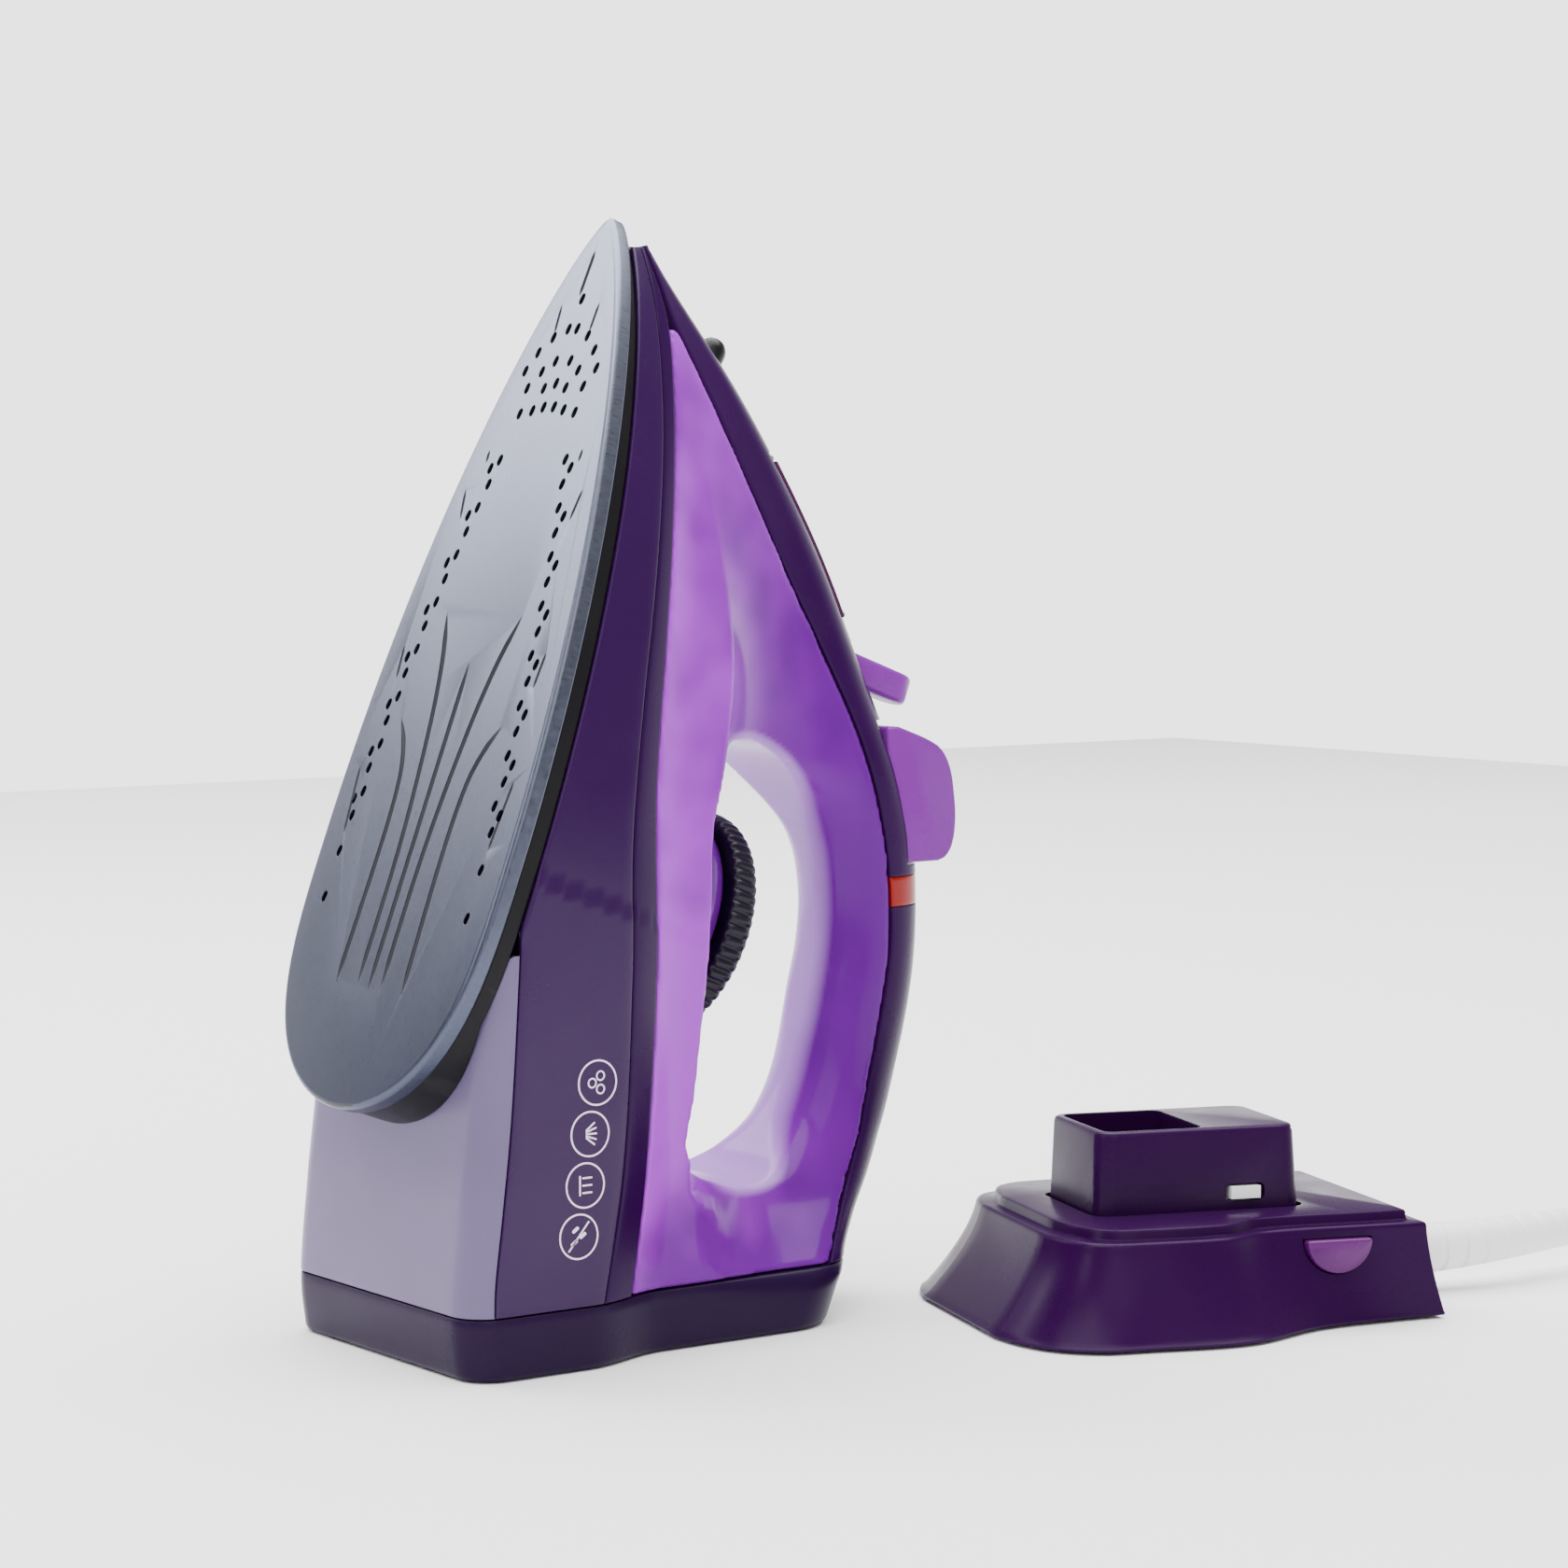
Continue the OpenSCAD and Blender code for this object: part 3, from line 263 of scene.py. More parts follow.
HAND_OPENING = [[14, 52], [20, 45], [30, 40.5], [45, 37], [56, 39.5], [64, 49], [70.5, 61],
                [74.6, 74], [77.6, 87], [80.2, 100], [80.7, 113], [78.3, 126], [70.5, 140],
                [61, 150.5], [50, 156], [38, 156.5], [29.5, 151.5], [25.5, 143], [23, 131],
                [21.8, 110], [19.5, 85], [16.5, 66]]


def clamp01(t):
    return np.clip(t, 0.0, 1.0)


def ease(t):
    u = clamp01(t)
    return u * u * (3 - 2 * u)


def outline_half(s, half, start=0.0, end=SOLE_LENGTH):
    """Half width of the soleplate's outline at a distance s along it."""
    wide = start + (SOLE_WIDEST / SOLE_LENGTH) * (end - start)
    nose = clamp01((s - wide) / (end - wide))
    rear = clamp01((wide - s) / (wide - start))
    return np.where(s > wide, half * (1 - nose ** 2) ** 0.75,
                    half * np.sqrt(np.maximum(0, 1 - rear ** 3.2)))


def sole_x(z):
    return SOLE_REAR[0] + (z - SOLE_REAR[1]) * math.tan(LEAN)


def along_sole(x, z):
    return (x - SOLE_REAR[0]) * math.sin(LEAN) + (z - SOLE_REAR[1]) * math.cos(LEAN)


def skirt_x(z):
    return sole_x(z) + skirt_depth(z)


def body_front(z):
    return np.maximum(rear_x(z), skirt_x(z))


def shell_front(z):
    return np.maximum(corner_x(z), skirt_x(z))


def side_half(x, z):
    """Half width of the side walls, which step in behind the trim strip."""
    s = along_sole(x, z)
    w = np.where(s > SOLE_WIDEST, outline_half(s, SOLE_HALF), SOLE_HALF + 0.3)
    step = SIDE_STEP * w / SOLE_HALF
    a, b = strip_x(z) - 4, tank_x(z) + 13
    return w - step * ease((x - a) / (b - a))


def corner_cut(x, z):
    """How much the round front corner of the heel takes off the half width."""
    r = CORNER_R
    d = np.maximum(0, x - rear_x(z))
    cutting = r - np.sqrt(np.maximum(0, r * r - (r - np.minimum(d, r)) ** 2))
    return np.where((z > CORNER_TOP) | (d >= r), 0.0, cutting)


def round_end(w, d, r):
    """Half width w, rounded with radius r towards an edge at a distance d."""
    u = clamp01(d / r)
    m = np.minimum(w, r)
    return w - m + m * np.sqrt(np.maximum(0, 1 - (1 - u) ** 2))


def upper_half(x, z):
    """Half width of the handle and of the column in front of it."""
    deck, back, grip = deck_x(z), back_x(z), grip_x(z)
    base = side_half(deck, z)
    hh, ch = handle_half(z), column_half(z)
    root = hh + (base - hh) * (1 - ease((x - deck) / (48 - deck)))
    inner = round_end(hh, x - grip, GRIP_R)
    column = ch + (base - ch) * (1 - clamp01((x - deck) / (back - deck))) ** column_power(z)
    blend_root, blend_top = ease((z - 36) / 16), ease((z - 128) / 24)
    low = root * (1 - blend_root) + np.where(x > grip - 8, inner, column) * blend_root
    w = low * (1 - blend_top) + column * blend_top
    return round_end(np.maximum(w, 0.6), back - x, back_round(z))


def half_at(x, z):
    """Half width of the whole iron at a place in its side view."""
    x, z = np.broadcast_arrays(np.asarray(x, float), np.asarray(z, float))
    w = np.where(x > deck_x(z), np.minimum(upper_half(x, z), side_half(deck_x(z), z)),
                 side_half(x, z))
    return np.maximum(0.25, w - corner_cut(x, z))


def closed_curve(points, n):
    """Smooth closed curve through points, with n steps between each two."""
    p = np.array(points, float)
    out = []
    for i in range(len(p)):
        a, b, c, d = p[i - 1], p[i], p[(i + 1) % len(p)], p[(i + 2) % len(p)]
        for k in range(n):
            t = k / n
            out.append(0.5 * (2 * b + (c - a) * t + (2 * a - 5 * b + 4 * c - d) * t * t
                              + (3 * b - a - 3 * c + d) * t ** 3))
    return [tuple(q) for q in out]


def unit_rows(d):
    return d / np.maximum(1e-12, np.linalg.norm(d, axis=-1, keepdims=True))


def panel(name, grid, material, body, lip, depth, inside):
    """Shell over a grid of points that is already set in by lip from its edges.

    It has rolled edges and an inner face, and it faces away from the place called inside.
    """
    p = np.array(grid, float)
    m, n, _ = p.shape
    normal = unit_rows(np.cross(np.gradient(p, axis=0), np.gradient(p, axis=1)))
    normal = normal * (np.sign(np.sum((p - np.array(inside, float)) * normal)) or 1.0)
    quarter = [math.pi / 2 * k / 4 for k in range(5)]
    move = [lip * math.sin(t) for t in quarter] + [lip]
    drop = [lip * (1 - math.cos(t)) for t in quarter] + [depth]
    k_max = len(move) - 1
    out_i = (unit_rows(p[0] - p[1]), unit_rows(p[-1] - p[-2]))
    out_j = (unit_rows(p[:, 0] - p[:, 1]), unit_rows(p[:, -1] - p[:, -2]))
    rows, cols = ([(0, k) for k in range(k_max, 0, -1)] + [(i, 0) for i in range(count)]
                  + [(count - 1, -k) for k in range(1, k_max + 1)] for count in (m, n))
    points = []
    for i, ki in rows:
        for j, kj in cols:
            q = p[i, j] - normal[i, j] * max(drop[abs(ki)], drop[abs(kj)])
            if ki:
                q = q + out_i[ki < 0][j] * move[abs(ki)]
            if kj:
                q = q + out_j[kj < 0][i] * move[abs(kj)]
            points.append(q)
    mm, nn = len(rows), len(cols)
    faces = grid_faces(mm, nn)
    start = len(points)
    points += list((p - normal * depth).reshape(-1, 3))
    faces += [f[::-1] for f in grid_faces(m, n, start=start)]

    def inner_at(i, j):
        return start + min(max(i - k_max, 0), m - 1) * n + min(max(j - k_max, 0), n - 1)

    cells = [(0, j) for j in range(nn)] + [(i, nn - 1) for i in range(1, mm)] \
        + [(mm - 1, j) for j in range(nn - 2, -1, -1)] + [(i, 0) for i in range(mm - 2, 0, -1)]
    for a, b in zip(cells, cells[1:] + cells[:1]):
        face = (a[0] * nn + a[1], b[0] * nn + b[1], inner_at(*b), inner_at(*a))
        faces.append(face[:3] if face[2] == face[3] else face)
    return make(name, points, faces, material, body)


# ------------------------------------------------------------------ materials


def feed(tree, socket, value):
    """Links a socket to another node's output, or sets its value."""
    if isinstance(value, bpy.types.NodeSocket):
        tree.links.new(value, socket)
    else:
        socket.default_value = value


def add_node(tree, kind, inputs):
    """A new shader node with its named inputs linked or set."""
    new = tree.nodes.new("ShaderNode" + kind)
    for key, value in inputs.items():
        feed(tree, new.inputs[key], value)
    return new


def principled(name, color, rough, metallic=0.0, coat=0.0, sss=0.0, sss_scale=0.004, spec=0.5):
    mat = bpy.data.materials.new(name)
    mat.use_nodes = True
    tree = mat.node_tree
    shader = tree.nodes["Principled BSDF"]
    shader.inputs["Base Color"].default_value = (*color, 1)
    shader.inputs["Roughness"].default_value = rough
    shader.inputs["Metallic"].default_value = metallic
    shader.inputs["Coat Weight"].default_value = coat
    shader.inputs["Coat Roughness"].default_value = 0.05
    shader.inputs["Subsurface Weight"].default_value = sss
    shader.inputs["Subsurface Scale"].default_value = sss_scale
    shader.inputs["Specular IOR Level"].default_value = spec
    if sss:
        shader.inputs["Subsurface Radius"].default_value = tuple(max(0.15, c) for c in color)
    return mat, tree, shader


def linear(rgb):
    """Scene colour of an sRGB colour given as 0..255."""
    return tuple((c / 255 / 12.92) if c / 255 <= 0.04045 else ((c / 255 + 0.055) / 1.055) ** 2.4
                 for c in rgb)


def noise(tree, scale, detail=4.0, roughness=0.5, stretch=None):
    place = tree.nodes.new("ShaderNodeTexCoord").outputs["Object"]
    if stretch:
        place = add_node(tree, "Mapping", {"Vector": place, "Scale": stretch}).outputs["Vector"]
    return add_node(tree, "TexNoise", {"Vector": place, "Scale": scale, "Detail": detail,
                                       "Roughness": roughness}).outputs["Fac"]


def object_axis(tree, axis):
    """One coordinate of the piece, metres."""
    place = tree.nodes.new("ShaderNodeTexCoord").outputs["Object"]
    return add_node(tree, "SeparateXYZ", {"Vector": place}).outputs[axis]


def ramp(tree, source, low, high, from_low=0.3, from_high=0.7):
    return add_node(tree, "MapRange", {"Value": source, "From Min": from_low, "From Max": from_high,
                                       "To Min": low, "To Max": high}).outputs["Result"]


def mix_color(tree, factor, a, b, blend="MIX"):
    mix = tree.nodes.new("ShaderNodeMix")
    mix.data_type = "RGBA"
    mix.blend_type = blend
    color_a, color_b = mix.inputs[6], mix.inputs[7]
    feed(tree, mix.inputs["Factor"], factor)
    for value, socket in ((a, color_a), (b, color_b)):
        feed(tree, socket, (*value, 1) if isinstance(value, tuple) else value)
    return mix.outputs[2]


def bump_normal(tree, shader, height, strength, distance, edge):
    """Fine relief, over edges softly rounded by a radius."""
    inputs = {"Strength": strength, "Distance": distance, "Height": height}
    if edge:
        rounded = add_node(tree, "Bevel", {"Radius": edge})
        rounded.samples = 4
        inputs["Normal"] = rounded.outputs["Normal"]
    tree.links.new(add_node(tree, "Bump", inputs).outputs["Normal"], shader.inputs["Normal"])


def moulded_surface(tree, shader, bump_scale, bump, rough, edge):
    """Fine moulded grain, uneven gloss and softly rounded edges."""
    tree.links.new(ramp(tree, noise(tree, 55, 3), *rough), shader.inputs["Roughness"])
    bump_normal(tree, shader, noise(tree, bump_scale, 2), bump, 0.0002, edge)


def uneven_color_with_painted_edge_highlight(tree, color):
    """The colour, slightly uneven, with a painted highlight that makes sharp outer edges a little
    paler.
    """
    # Painted highlight: a paler colour is mixed in on sharp outer edges.
    pointed = tree.nodes.new("ShaderNodeNewGeometry").outputs["Pointiness"]
    pale = tuple(min(1, c * 1.25 + 0.02) for c in color)
    darker = tuple(c * 0.9 for c in color)
    base = mix_color(tree, ramp(tree, noise(tree, 22, 3), 0, 1), darker, color)
    return mix_color(tree, ramp(tree, pointed, 0.0, 0.5, 0.52, 0.62), base, pale)


def plastic(name, rgb, rough=(0.18, 0.26), bump_scale=900, bump=0.05, coat=0.04, edge=0.0005,
            sss=0.0, spec=0.25):
    color = linear(rgb)
    mat, tree, shader = principled(name, color, rough[0], coat=coat, sss=sss, spec=spec)
    tree.links.new(uneven_color_with_painted_edge_highlight(tree, color), shader.inputs["Base Color"])
    moulded_surface(tree, shader, bump_scale, bump, rough, edge)
    return mat


def metal(name, rgb, rough=(0.25, 0.4), stretch=(40, 4, 4), bump=0.15, edge=0.0004, scale=60):
    color = linear(rgb)
    mat, tree, shader = principled(name, color, rough[0], metallic=1.0)
    grain = noise(tree, scale, 4, 0.6, stretch)
    darker = tuple(c * 0.82 for c in color)
    tree.links.new(ramp(tree, grain, *rough), shader.inputs["Roughness"])
    tree.links.new(mix_color(tree, ramp(tree, grain, 0, 1), darker, color),
                   shader.inputs["Base Color"])
    bump_normal(tree, shader, grain, bump, 0.0001, edge)
    return mat


def sole_material():
    """Brushed dark coating with painted light: paler towards the tip, darker low down towards the
    heel.
    """
    mat = metal("sole_metal", (134, 139, 156), (0.26, 0.4), (3, 60, 3), 0.05, 0.0003, 120)
    tree = mat.node_tree
    color = tree.nodes["Principled BSDF"].inputs["Base Color"]
    # Painted light: the base colour is multiplied darker low down and left full bright towards the
    # tip.
    height = ramp(tree, object_axis(tree, "Z"), 0.0, 1.0, 0.07, 0.34)
    painted_tip_light = mix_color(tree, height, (0.28, 0.29, 0.34), (1.0, 1.0, 1.0))
    brushed = color.links[0].from_socket
    tree.links.new(mix_color(tree, 1.0, brushed, painted_tip_light, "MULTIPLY"), color)
    return mat


def tank_material():
    """Translucent purple with painted light and shade: deeper towards the grip, where the core is
    close behind, paler towards the front of the tank and pale on the thin wall beside the hand
    opening.
    """
    mat, tree, shader = principled("translucent_purple", linear((150, 60, 205)), 0.14, coat=0.05,
                                   sss=0.3, sss_scale=0.006, spec=0.1)
    # Painted light and shade: lighter towards the front of the tank, deeper towards the grip; the
    # noise clouds are uneven tone.
    light, mid, deep = linear((168, 54, 206)), linear((118, 16, 156)), linear((84, 0, 120))
    x = object_axis(tree, "X")
    body = mix_color(tree, ramp(tree, x, 0, 1, 0.005, 0.075), light, mid)
    grip = mix_color(tree, ramp(tree, x, 0, 0.8, 0.068, 0.09), body, deep)
    cloud = ramp(tree, noise(tree, 14, 3, 0.55), 0, 0.8, 0.46, 0.62)
    # Painted light: the wall beside the hand opening is painted pale.
    wall = tree.nodes.new("ShaderNodeAttribute")
    wall.attribute_name = "painted_rim_light"
    thin = ramp(tree, wall.outputs["Fac"], 0, 0.7, 0.0, 0.9)
    tree.links.new(mix_color(tree, thin, mix_color(tree, cloud, grip, deep), linear((206, 160, 236))),
                   shader.inputs["Base Color"])
    moulded_surface(tree, shader, 300, 0.02, (0.10, 0.2), 0)
    return mat


M = {
    "sole": sole_material(),
    # painted shade inside the soleplate's grooves
    "groove": plastic("groove_painted_shade", (38, 40, 48), (0.35, 0.5), edge=0),
    "skirt": plastic("skirt_black", (3, 1, 6), (0.35, 0.5), coat=0.0, spec=0.15),
    "lower": plastic("dark_purple_plastic", (40, 0, 60), (0.2, 0.3)),
    "rear": plastic("lilac_grey_plastic", (102, 90, 124), (0.3, 0.4)),
    "strip": plastic("indigo_plastic", (38, 0, 56), (0.2, 0.3), coat=0.0, spec=0.1),
    "tank": tank_material(),
    "cover": plastic("dark_indigo_plastic", (42, 1, 60), (0.2, 0.32), coat=0.0, spec=0.08),
    "heel": plastic("heel_plastic", (28, 4, 44), (0.26, 0.36), coat=0.0, spec=0.12),
    "control": plastic("light_purple_plastic", (120, 34, 148), (0.24, 0.34), spec=0.15),
    "lid": plastic("plum_plastic", (72, 6, 66), (0.24, 0.34), coat=0.0, spec=0.15),
    "dial": plastic("dial_black", (10, 2, 24), (0.3, 0.42), coat=0.05),
    "pedestal": plastic("deep_purple_plastic", (88, 0, 122), (0.14, 0.22), coat=0.05, sss=0.1),
    "black": plastic("black_plastic", (5, 3, 9), (0.3, 0.42), coat=0.0),
    "lens": plastic("red_lens", (140, 4, 0), (0.1, 0.16), coat=0.1, sss=0.1, spec=0.15),
    "pale": plastic("pale_plastic", (222, 220, 224), (0.3, 0.45)),
    "ink": plastic("white_ink", (232, 214, 244), (0.4, 0.5), coat=0.0, edge=0),
    "dock": plastic("dock_purple_plastic", (38, 0, 52), (0.24, 0.34), coat=0.0, spec=0.08),
    "dock_button": plastic("magenta_plastic", (76, 0, 86), (0.24, 0.34)),
    "white": plastic("white_plastic", (250, 250, 252), (0.3, 0.42)),
    "cord": plastic("white_rubber", (240, 239, 243), (0.45, 0.6), 1400, 0.15, coat=0.0, edge=0),
    "rubber": plastic("foot_rubber", (10, 10, 10), (0.6, 0.75), 700, 0.3, coat=0.0),
    "ceramic": plastic("ceramic", (220, 214, 200), (0.55, 0.7), 500, 0.2, coat=0.0),
    "wire": plastic("wire_sleeve", (180, 80, 52), (0.5, 0.65), coat=0.0),
    "steel": metal("screw_steel", (172, 172, 176), (0.22, 0.36)),
    "element": metal("element_steel", (90, 90, 94), (0.4, 0.55)),
    "cast": metal("cast_alloy", (150, 152, 156), (0.5, 0.7), (1, 1, 1), 0.6),
    "brass": metal("brass_contacts", (200, 172, 96), (0.2, 0.34)),
}

# ------------------------------------------------------------------ soleplate


def sole_outline(half, start, end, count=160):
    """Outline points (y, s) of a plate shaped like the soleplate."""
    t = np.linspace(0, math.pi, count)
    s = start + (end - start) * (1 - np.cos(t)) / 2
    y = outline_half(s, half, start, end)
    right = list(zip(y, s))
    return right + [(-a, b) for a, b in right[-2:0:-1]]


def inset_outline(points, d):
    """Moves a closed outline of (a, b) points inwards by d."""
    p = np.array(points, float)
    t = np.roll(p, -1, axis=0) - np.roll(p, 1, axis=0)
    t /= np.maximum(1e-9, np.linalg.norm(t, axis=1, keepdims=True))
    normal = np.stack([t[:, 1], -t[:, 0]], axis=1)
    area = np.sum(p[:, 0] * np.roll(p[:, 1], -1) - np.roll(p[:, 0], -1) * p[:, 1])
    return p - normal * d * (1 if area > 0 else -1)


def plate(name, half, start, end, profile, material, angle=30):
    """Plate parallel to the soleplate; profile is a list of (height off the plate, inset)."""
    rings = [[on_sole(n, y, s) for y, s in sole_outline(half - d, start + d, end - 1.5 * d)]
             for n, d in profile]
    return rings_solid(name, rings, material, "iron", angle)


SLOT_LENGTH, SLOT_WIDTH, SLOT_LEAN = 3.3, 2.1, -0.25


def slot_tool(y, s, steps=6):
    """Rings of a slot-shaped tool through the soleplate."""
    d = Vector((SLOT_LEAN, 1)).normalized()
    side = Vector((d.y, -d.x))
    ring = []
    for end in (1, -1):
        for k in range(steps + 1):
            t = math.pi * k / steps
            ring.append(Vector((y, s)) + d * end * (SLOT_LENGTH - SLOT_WIDTH) / 2
                        + (side * math.cos(t) + d * math.sin(t)) * end * SLOT_WIDTH / 2)
    return [[on_sole(n, q.x, q.y) for q in ring] for n in (-1, SOLE_THICK + 1)]


def joined_tool(solids):
    """One cutting mesh from many ring solids of two or more rings."""
    points, faces = [], []
    for rings in solids:
        m, n, start = len(rings), len(rings[0]), len(points)
        points += [p for ring in rings for p in ring]
        faces += grid_faces(m, n, closed_j=True, start=start)
        faces += [tuple(start + k for k in range(n)),
                  tuple(start + (m - 1) * n + k for k in range(n))]
    return make("tool", points, faces, None, None)


SOLE_R = 1.6
rolled = [math.pi / 2 * k / 7 for k in range(8)]
profile = [(SOLE_R * (1 - math.cos(t)), SOLE_R * (1 - math.sin(t))) for t in rolled]
profile += [(SOLE_THICK - 0.5, 0), (SOLE_THICK - 0.15, 0.15), (SOLE_THICK, 0.5)]
sole = plate("sole_plate", SOLE_HALF, 0, SOLE_LENGTH, profile, M["sole"])
holes = []
for k in range(8):
    s = 176 - 13.3 * k
    y = float(outline_half(s, SOLE_HALF)) - 13.4 - 0.035 * (s - 83)
    holes += [(y, s), (y + 3.5, s - 2.3), (y + 2, s - 6.8)]
holes += [(13.2, 189), (7.5, 189.8), (2.5, 190.7), (13.4, 196.2), (5.2, 196), (0, 197.3),
          (17, 201.2), (8.7, 200.8), (3.5, 203.6), (13.4, 206.3), (8.2, 210.4), (2.1, 212.6),
          (0, 221), (35.3, 66.2), (35.6, 53.5)]
slots = []
for y, s in holes:
    for side in ((1, -1) if y else (1,)):
        slots.append(slot_tool(side * y, s))
cut(sole, joined_tool(slots))
GROOVES = [
    [(0, 30), (0, 121)],
    [(5.8, 31), (6.2, 70), (9.4, 101), (13.4, 120), (18.9, 134.5)],
    [(16.5, 30.8), (15.4, 70), (16.6, 88), (20, 97), (25.5, 104.5)],
]
STROKES = [[(9, 220), (8.3, 211)], [(22.5, 179), (22.3, 175)], [(28.4, 168), (26.5, 159)],
           [(34.7, 124), (33.6, 114)], [(38, 90), (35.8, 71)]]


def groove_tool(path, radius, depth, sides=10):
    """Rings of a tapered tool that presses a line into the soleplate."""
    curve = Line([(s, y) for y, s in sorted(path, key=lambda q: q[1])])
    s0, s1 = curve.a[0], curve.a[-1]
    n = max(3, int((s1 - s0) / 2))
    rings = []
    for i in range(n + 1):
        s = s0 + (s1 - s0) * i / n
        y = float(curve(s))
        dy = float(curve(min(s1, s + 0.5)) - curve(max(s0, s - 0.5)))
        d = Vector((dy, 1)).normalized()
        taper = radius * (0.25 + 0.75 * min(1, math.sin(math.pi * i / n) * 4))
        rings.append([on_sole(depth - radius + taper * v, y + d.y * taper * u, s - d.x * taper * u)
                      for u, v in round_steps(sides)])
    return rings


def paint_shade_in_grooves(obj):
    """Painted shade: a darker colour inside the pressed grooves of the plate."""
    obj.data.materials.append(M["groove"])
    for face in obj.data.polygons:
        q = face.center / MM
        from_corner = q - on_sole(0, 0, 0)
        half = float(outline_half(from_corner.dot(ALONG), SOLE_HALF))
        if 0.03 < from_corner.dot(AWAY) < 2.0 and abs(q.y) < half - 3.5:
            face.material_index = 1


lines = []
for path, radius, depth in [(g, 1.15, 0.75) for g in GROOVES] + [(g, 0.6, 0.4) for g in STROKES]:
    for side in ((1, -1) if path[0][0] else (1,)):
        lines.append(groove_tool([(side * y, s) for y, s in path], radius, depth))
lines.append(groove_tool([(0.8, 235), (1.8, 221.5)], 0.8, 0.5))
cut(sole, joined_tool(lines), angle=16)
paint_shade_in_grooves(sole)
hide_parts("soleplate")

skirt = plate("heat_skirt_shell", SOLE_HALF - 0.7, 0.8, SOLE_LENGTH - 2,
              [(SOLE_THICK + 0.05, 0.4), (SOLE_THICK + 0.4, 0), (24, 0)], M["skirt"])
z_list = np.linspace(40, 300, 90)
body_side = [(float(body_front(z)) - SEAM, z) for z in z_list] + [(120, 300), (120, 40)]
cut(skirt, prism("tool", body_side, -80, 80, across),
    plate("tool2", 40, 8, 222, [(4, 0), (30, 0)], None))
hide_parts("heat_skirt")

# ------------------------------------------------------------------ body panels

LIP, DEPTH = 0.5, 2.2
HEEL_TOP = HEEL_H + SEAM


def side_grid(z_rows, x_a, x_b, count, side):
    """Grid on one side wall between two side-view lines, set in by the lip."""
    rows = []
    for z in z_rows:
        a, b = float(x_a(z)) + SEAM / 2 + LIP, float(x_b(z)) - SEAM / 2 - LIP
        x = a + (max(b, a + 0.2) - a) * np.linspace(0, 1, count)
        y = half_at(x, z)
        rows.append(np.stack([x, side * y, np.full(count, z)], axis=1))
    return np.array(rows)


def join(name, parts, node):
    """Joins pieces of one material into one named piece."""
    bpy.ops.object.select_all(action="DESELECT")
    for part in parts:
        part.select_set(True)
    bpy.context.view_layer.objects.active = parts[0]
    bpy.ops.object.join()
    parts[0].name = name
    if node:
        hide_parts(node)
    return parts[0]


def side_panels(name, z_rows, x_a, x_b, count, material, node):
    parts = [panel(name + tag, side_grid(z_rows, x_a, x_b, count, side), material, "iron",
                   LIP, DEPTH, (0, 0, 120)) for tag, side in (("_near", -1), ("_far", 1))]
    return join(name, parts, node)


z_side = np.linspace(HEEL_TOP + LIP, 286.6, 130)
side_panels("lower_body_shell", z_side, shell_front, strip_x, 34, M["lower"],
            "lower_body")
side_panels("trim_strip_shell", z_side, strip_x, tank_x, 14, M["strip"],
            "trim_strip")

# rear panel: round the front corners under the soleplate
REAR_TOP, CORNER_STEPS, FRONT_STEPS = 106.5, 16, 24
rows = []
for z in np.linspace(HEEL_TOP + LIP, REAR_TOP, 60):
    a, b = float(body_front(z)), float(shell_front(z)) - SEAM / 2 - LIP
    x = a + (b - a) * (1 - np.cos(np.linspace(0, math.pi / 2, CORNER_STEPS)))
    y = half_at(x, z)
    far = np.stack([x, y, np.full(CORNER_STEPS, z)], axis=1)
    flat_y = np.linspace(-y[0], y[0], FRONT_STEPS + 2)[1:-1]
    front = np.stack([np.full(FRONT_STEPS, a), flat_y, np.full(FRONT_STEPS, z)], axis=1)
    rows.append(np.concatenate([(far * [1, -1, 1])[::-1], front, far]))
rear = panel("rear_panel_shell", np.array(rows), M["rear"], "iron", LIP, DEPTH, (0, 0, 60))
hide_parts("rear_panel")

# top and rear cover: wraps round the back of the handle
COVER_Z = np.linspace(HEEL_TOP + LIP, 287.2, 170)


def cover_grid(z_rows, count=46):
    """Grid from edge to edge round the iron's back."""
    out = []
    for z in z_rows:
        a, b = float(cover_x(z)) + SEAM / 2 + LIP, float(back_x(z))
        a = min(a, b - 0.5)
        x = b - (b - a) * (1 - np.cos(np.linspace(math.pi / 2, 0, count)))
        y = half_at(x, z)
        near = np.stack([x, -y, np.full(count, z)], axis=1)
        out.append(np.concatenate([near, (near * [1, -1, 1])[::-1][1:]]))
    return np.array(out)


def back_surface(y, z, count=60):
    """Distance x of the cover's outer surface at a distance y from the middle plane."""
    a, b = float(cover_x(z)), float(back_x(z))
    x = b - (b - a) * (1 - np.cos(np.linspace(0, math.pi / 2, count)))
    w = np.maximum.accumulate(half_at(x, z) - 0.25)
    return float(np.interp(abs(y), w, x))


cover = panel("top_cover_shell", cover_grid(COVER_Z), M["cover"], "iron", LIP, DEPTH,
              (20, 0, 120))
LID_LOW, LID_HIGH, LID_HALF, LID_PROUD = 188.5, 231.0, 11.4, 1.1
LENS_LOW, LENS_HIGH = 108.3, 116.6
BUTTON_HALF = 12.6
TAB_ALONG = 158.5


def rounded_rect(a, b, r, n=8):
    """Closed outline of a box with rounded corners."""
    out = []
    for q in range(4):
        cx = b[0] - r if q in (0, 3) else a[0] + r
        cy = b[1] - r if q < 2 else a[1] + r
        for i in range(n + 1):
            t = math.pi / 2 * (q + i / n)
            out.append((cx + r * math.cos(t), cy + r * math.sin(t)))
    return out


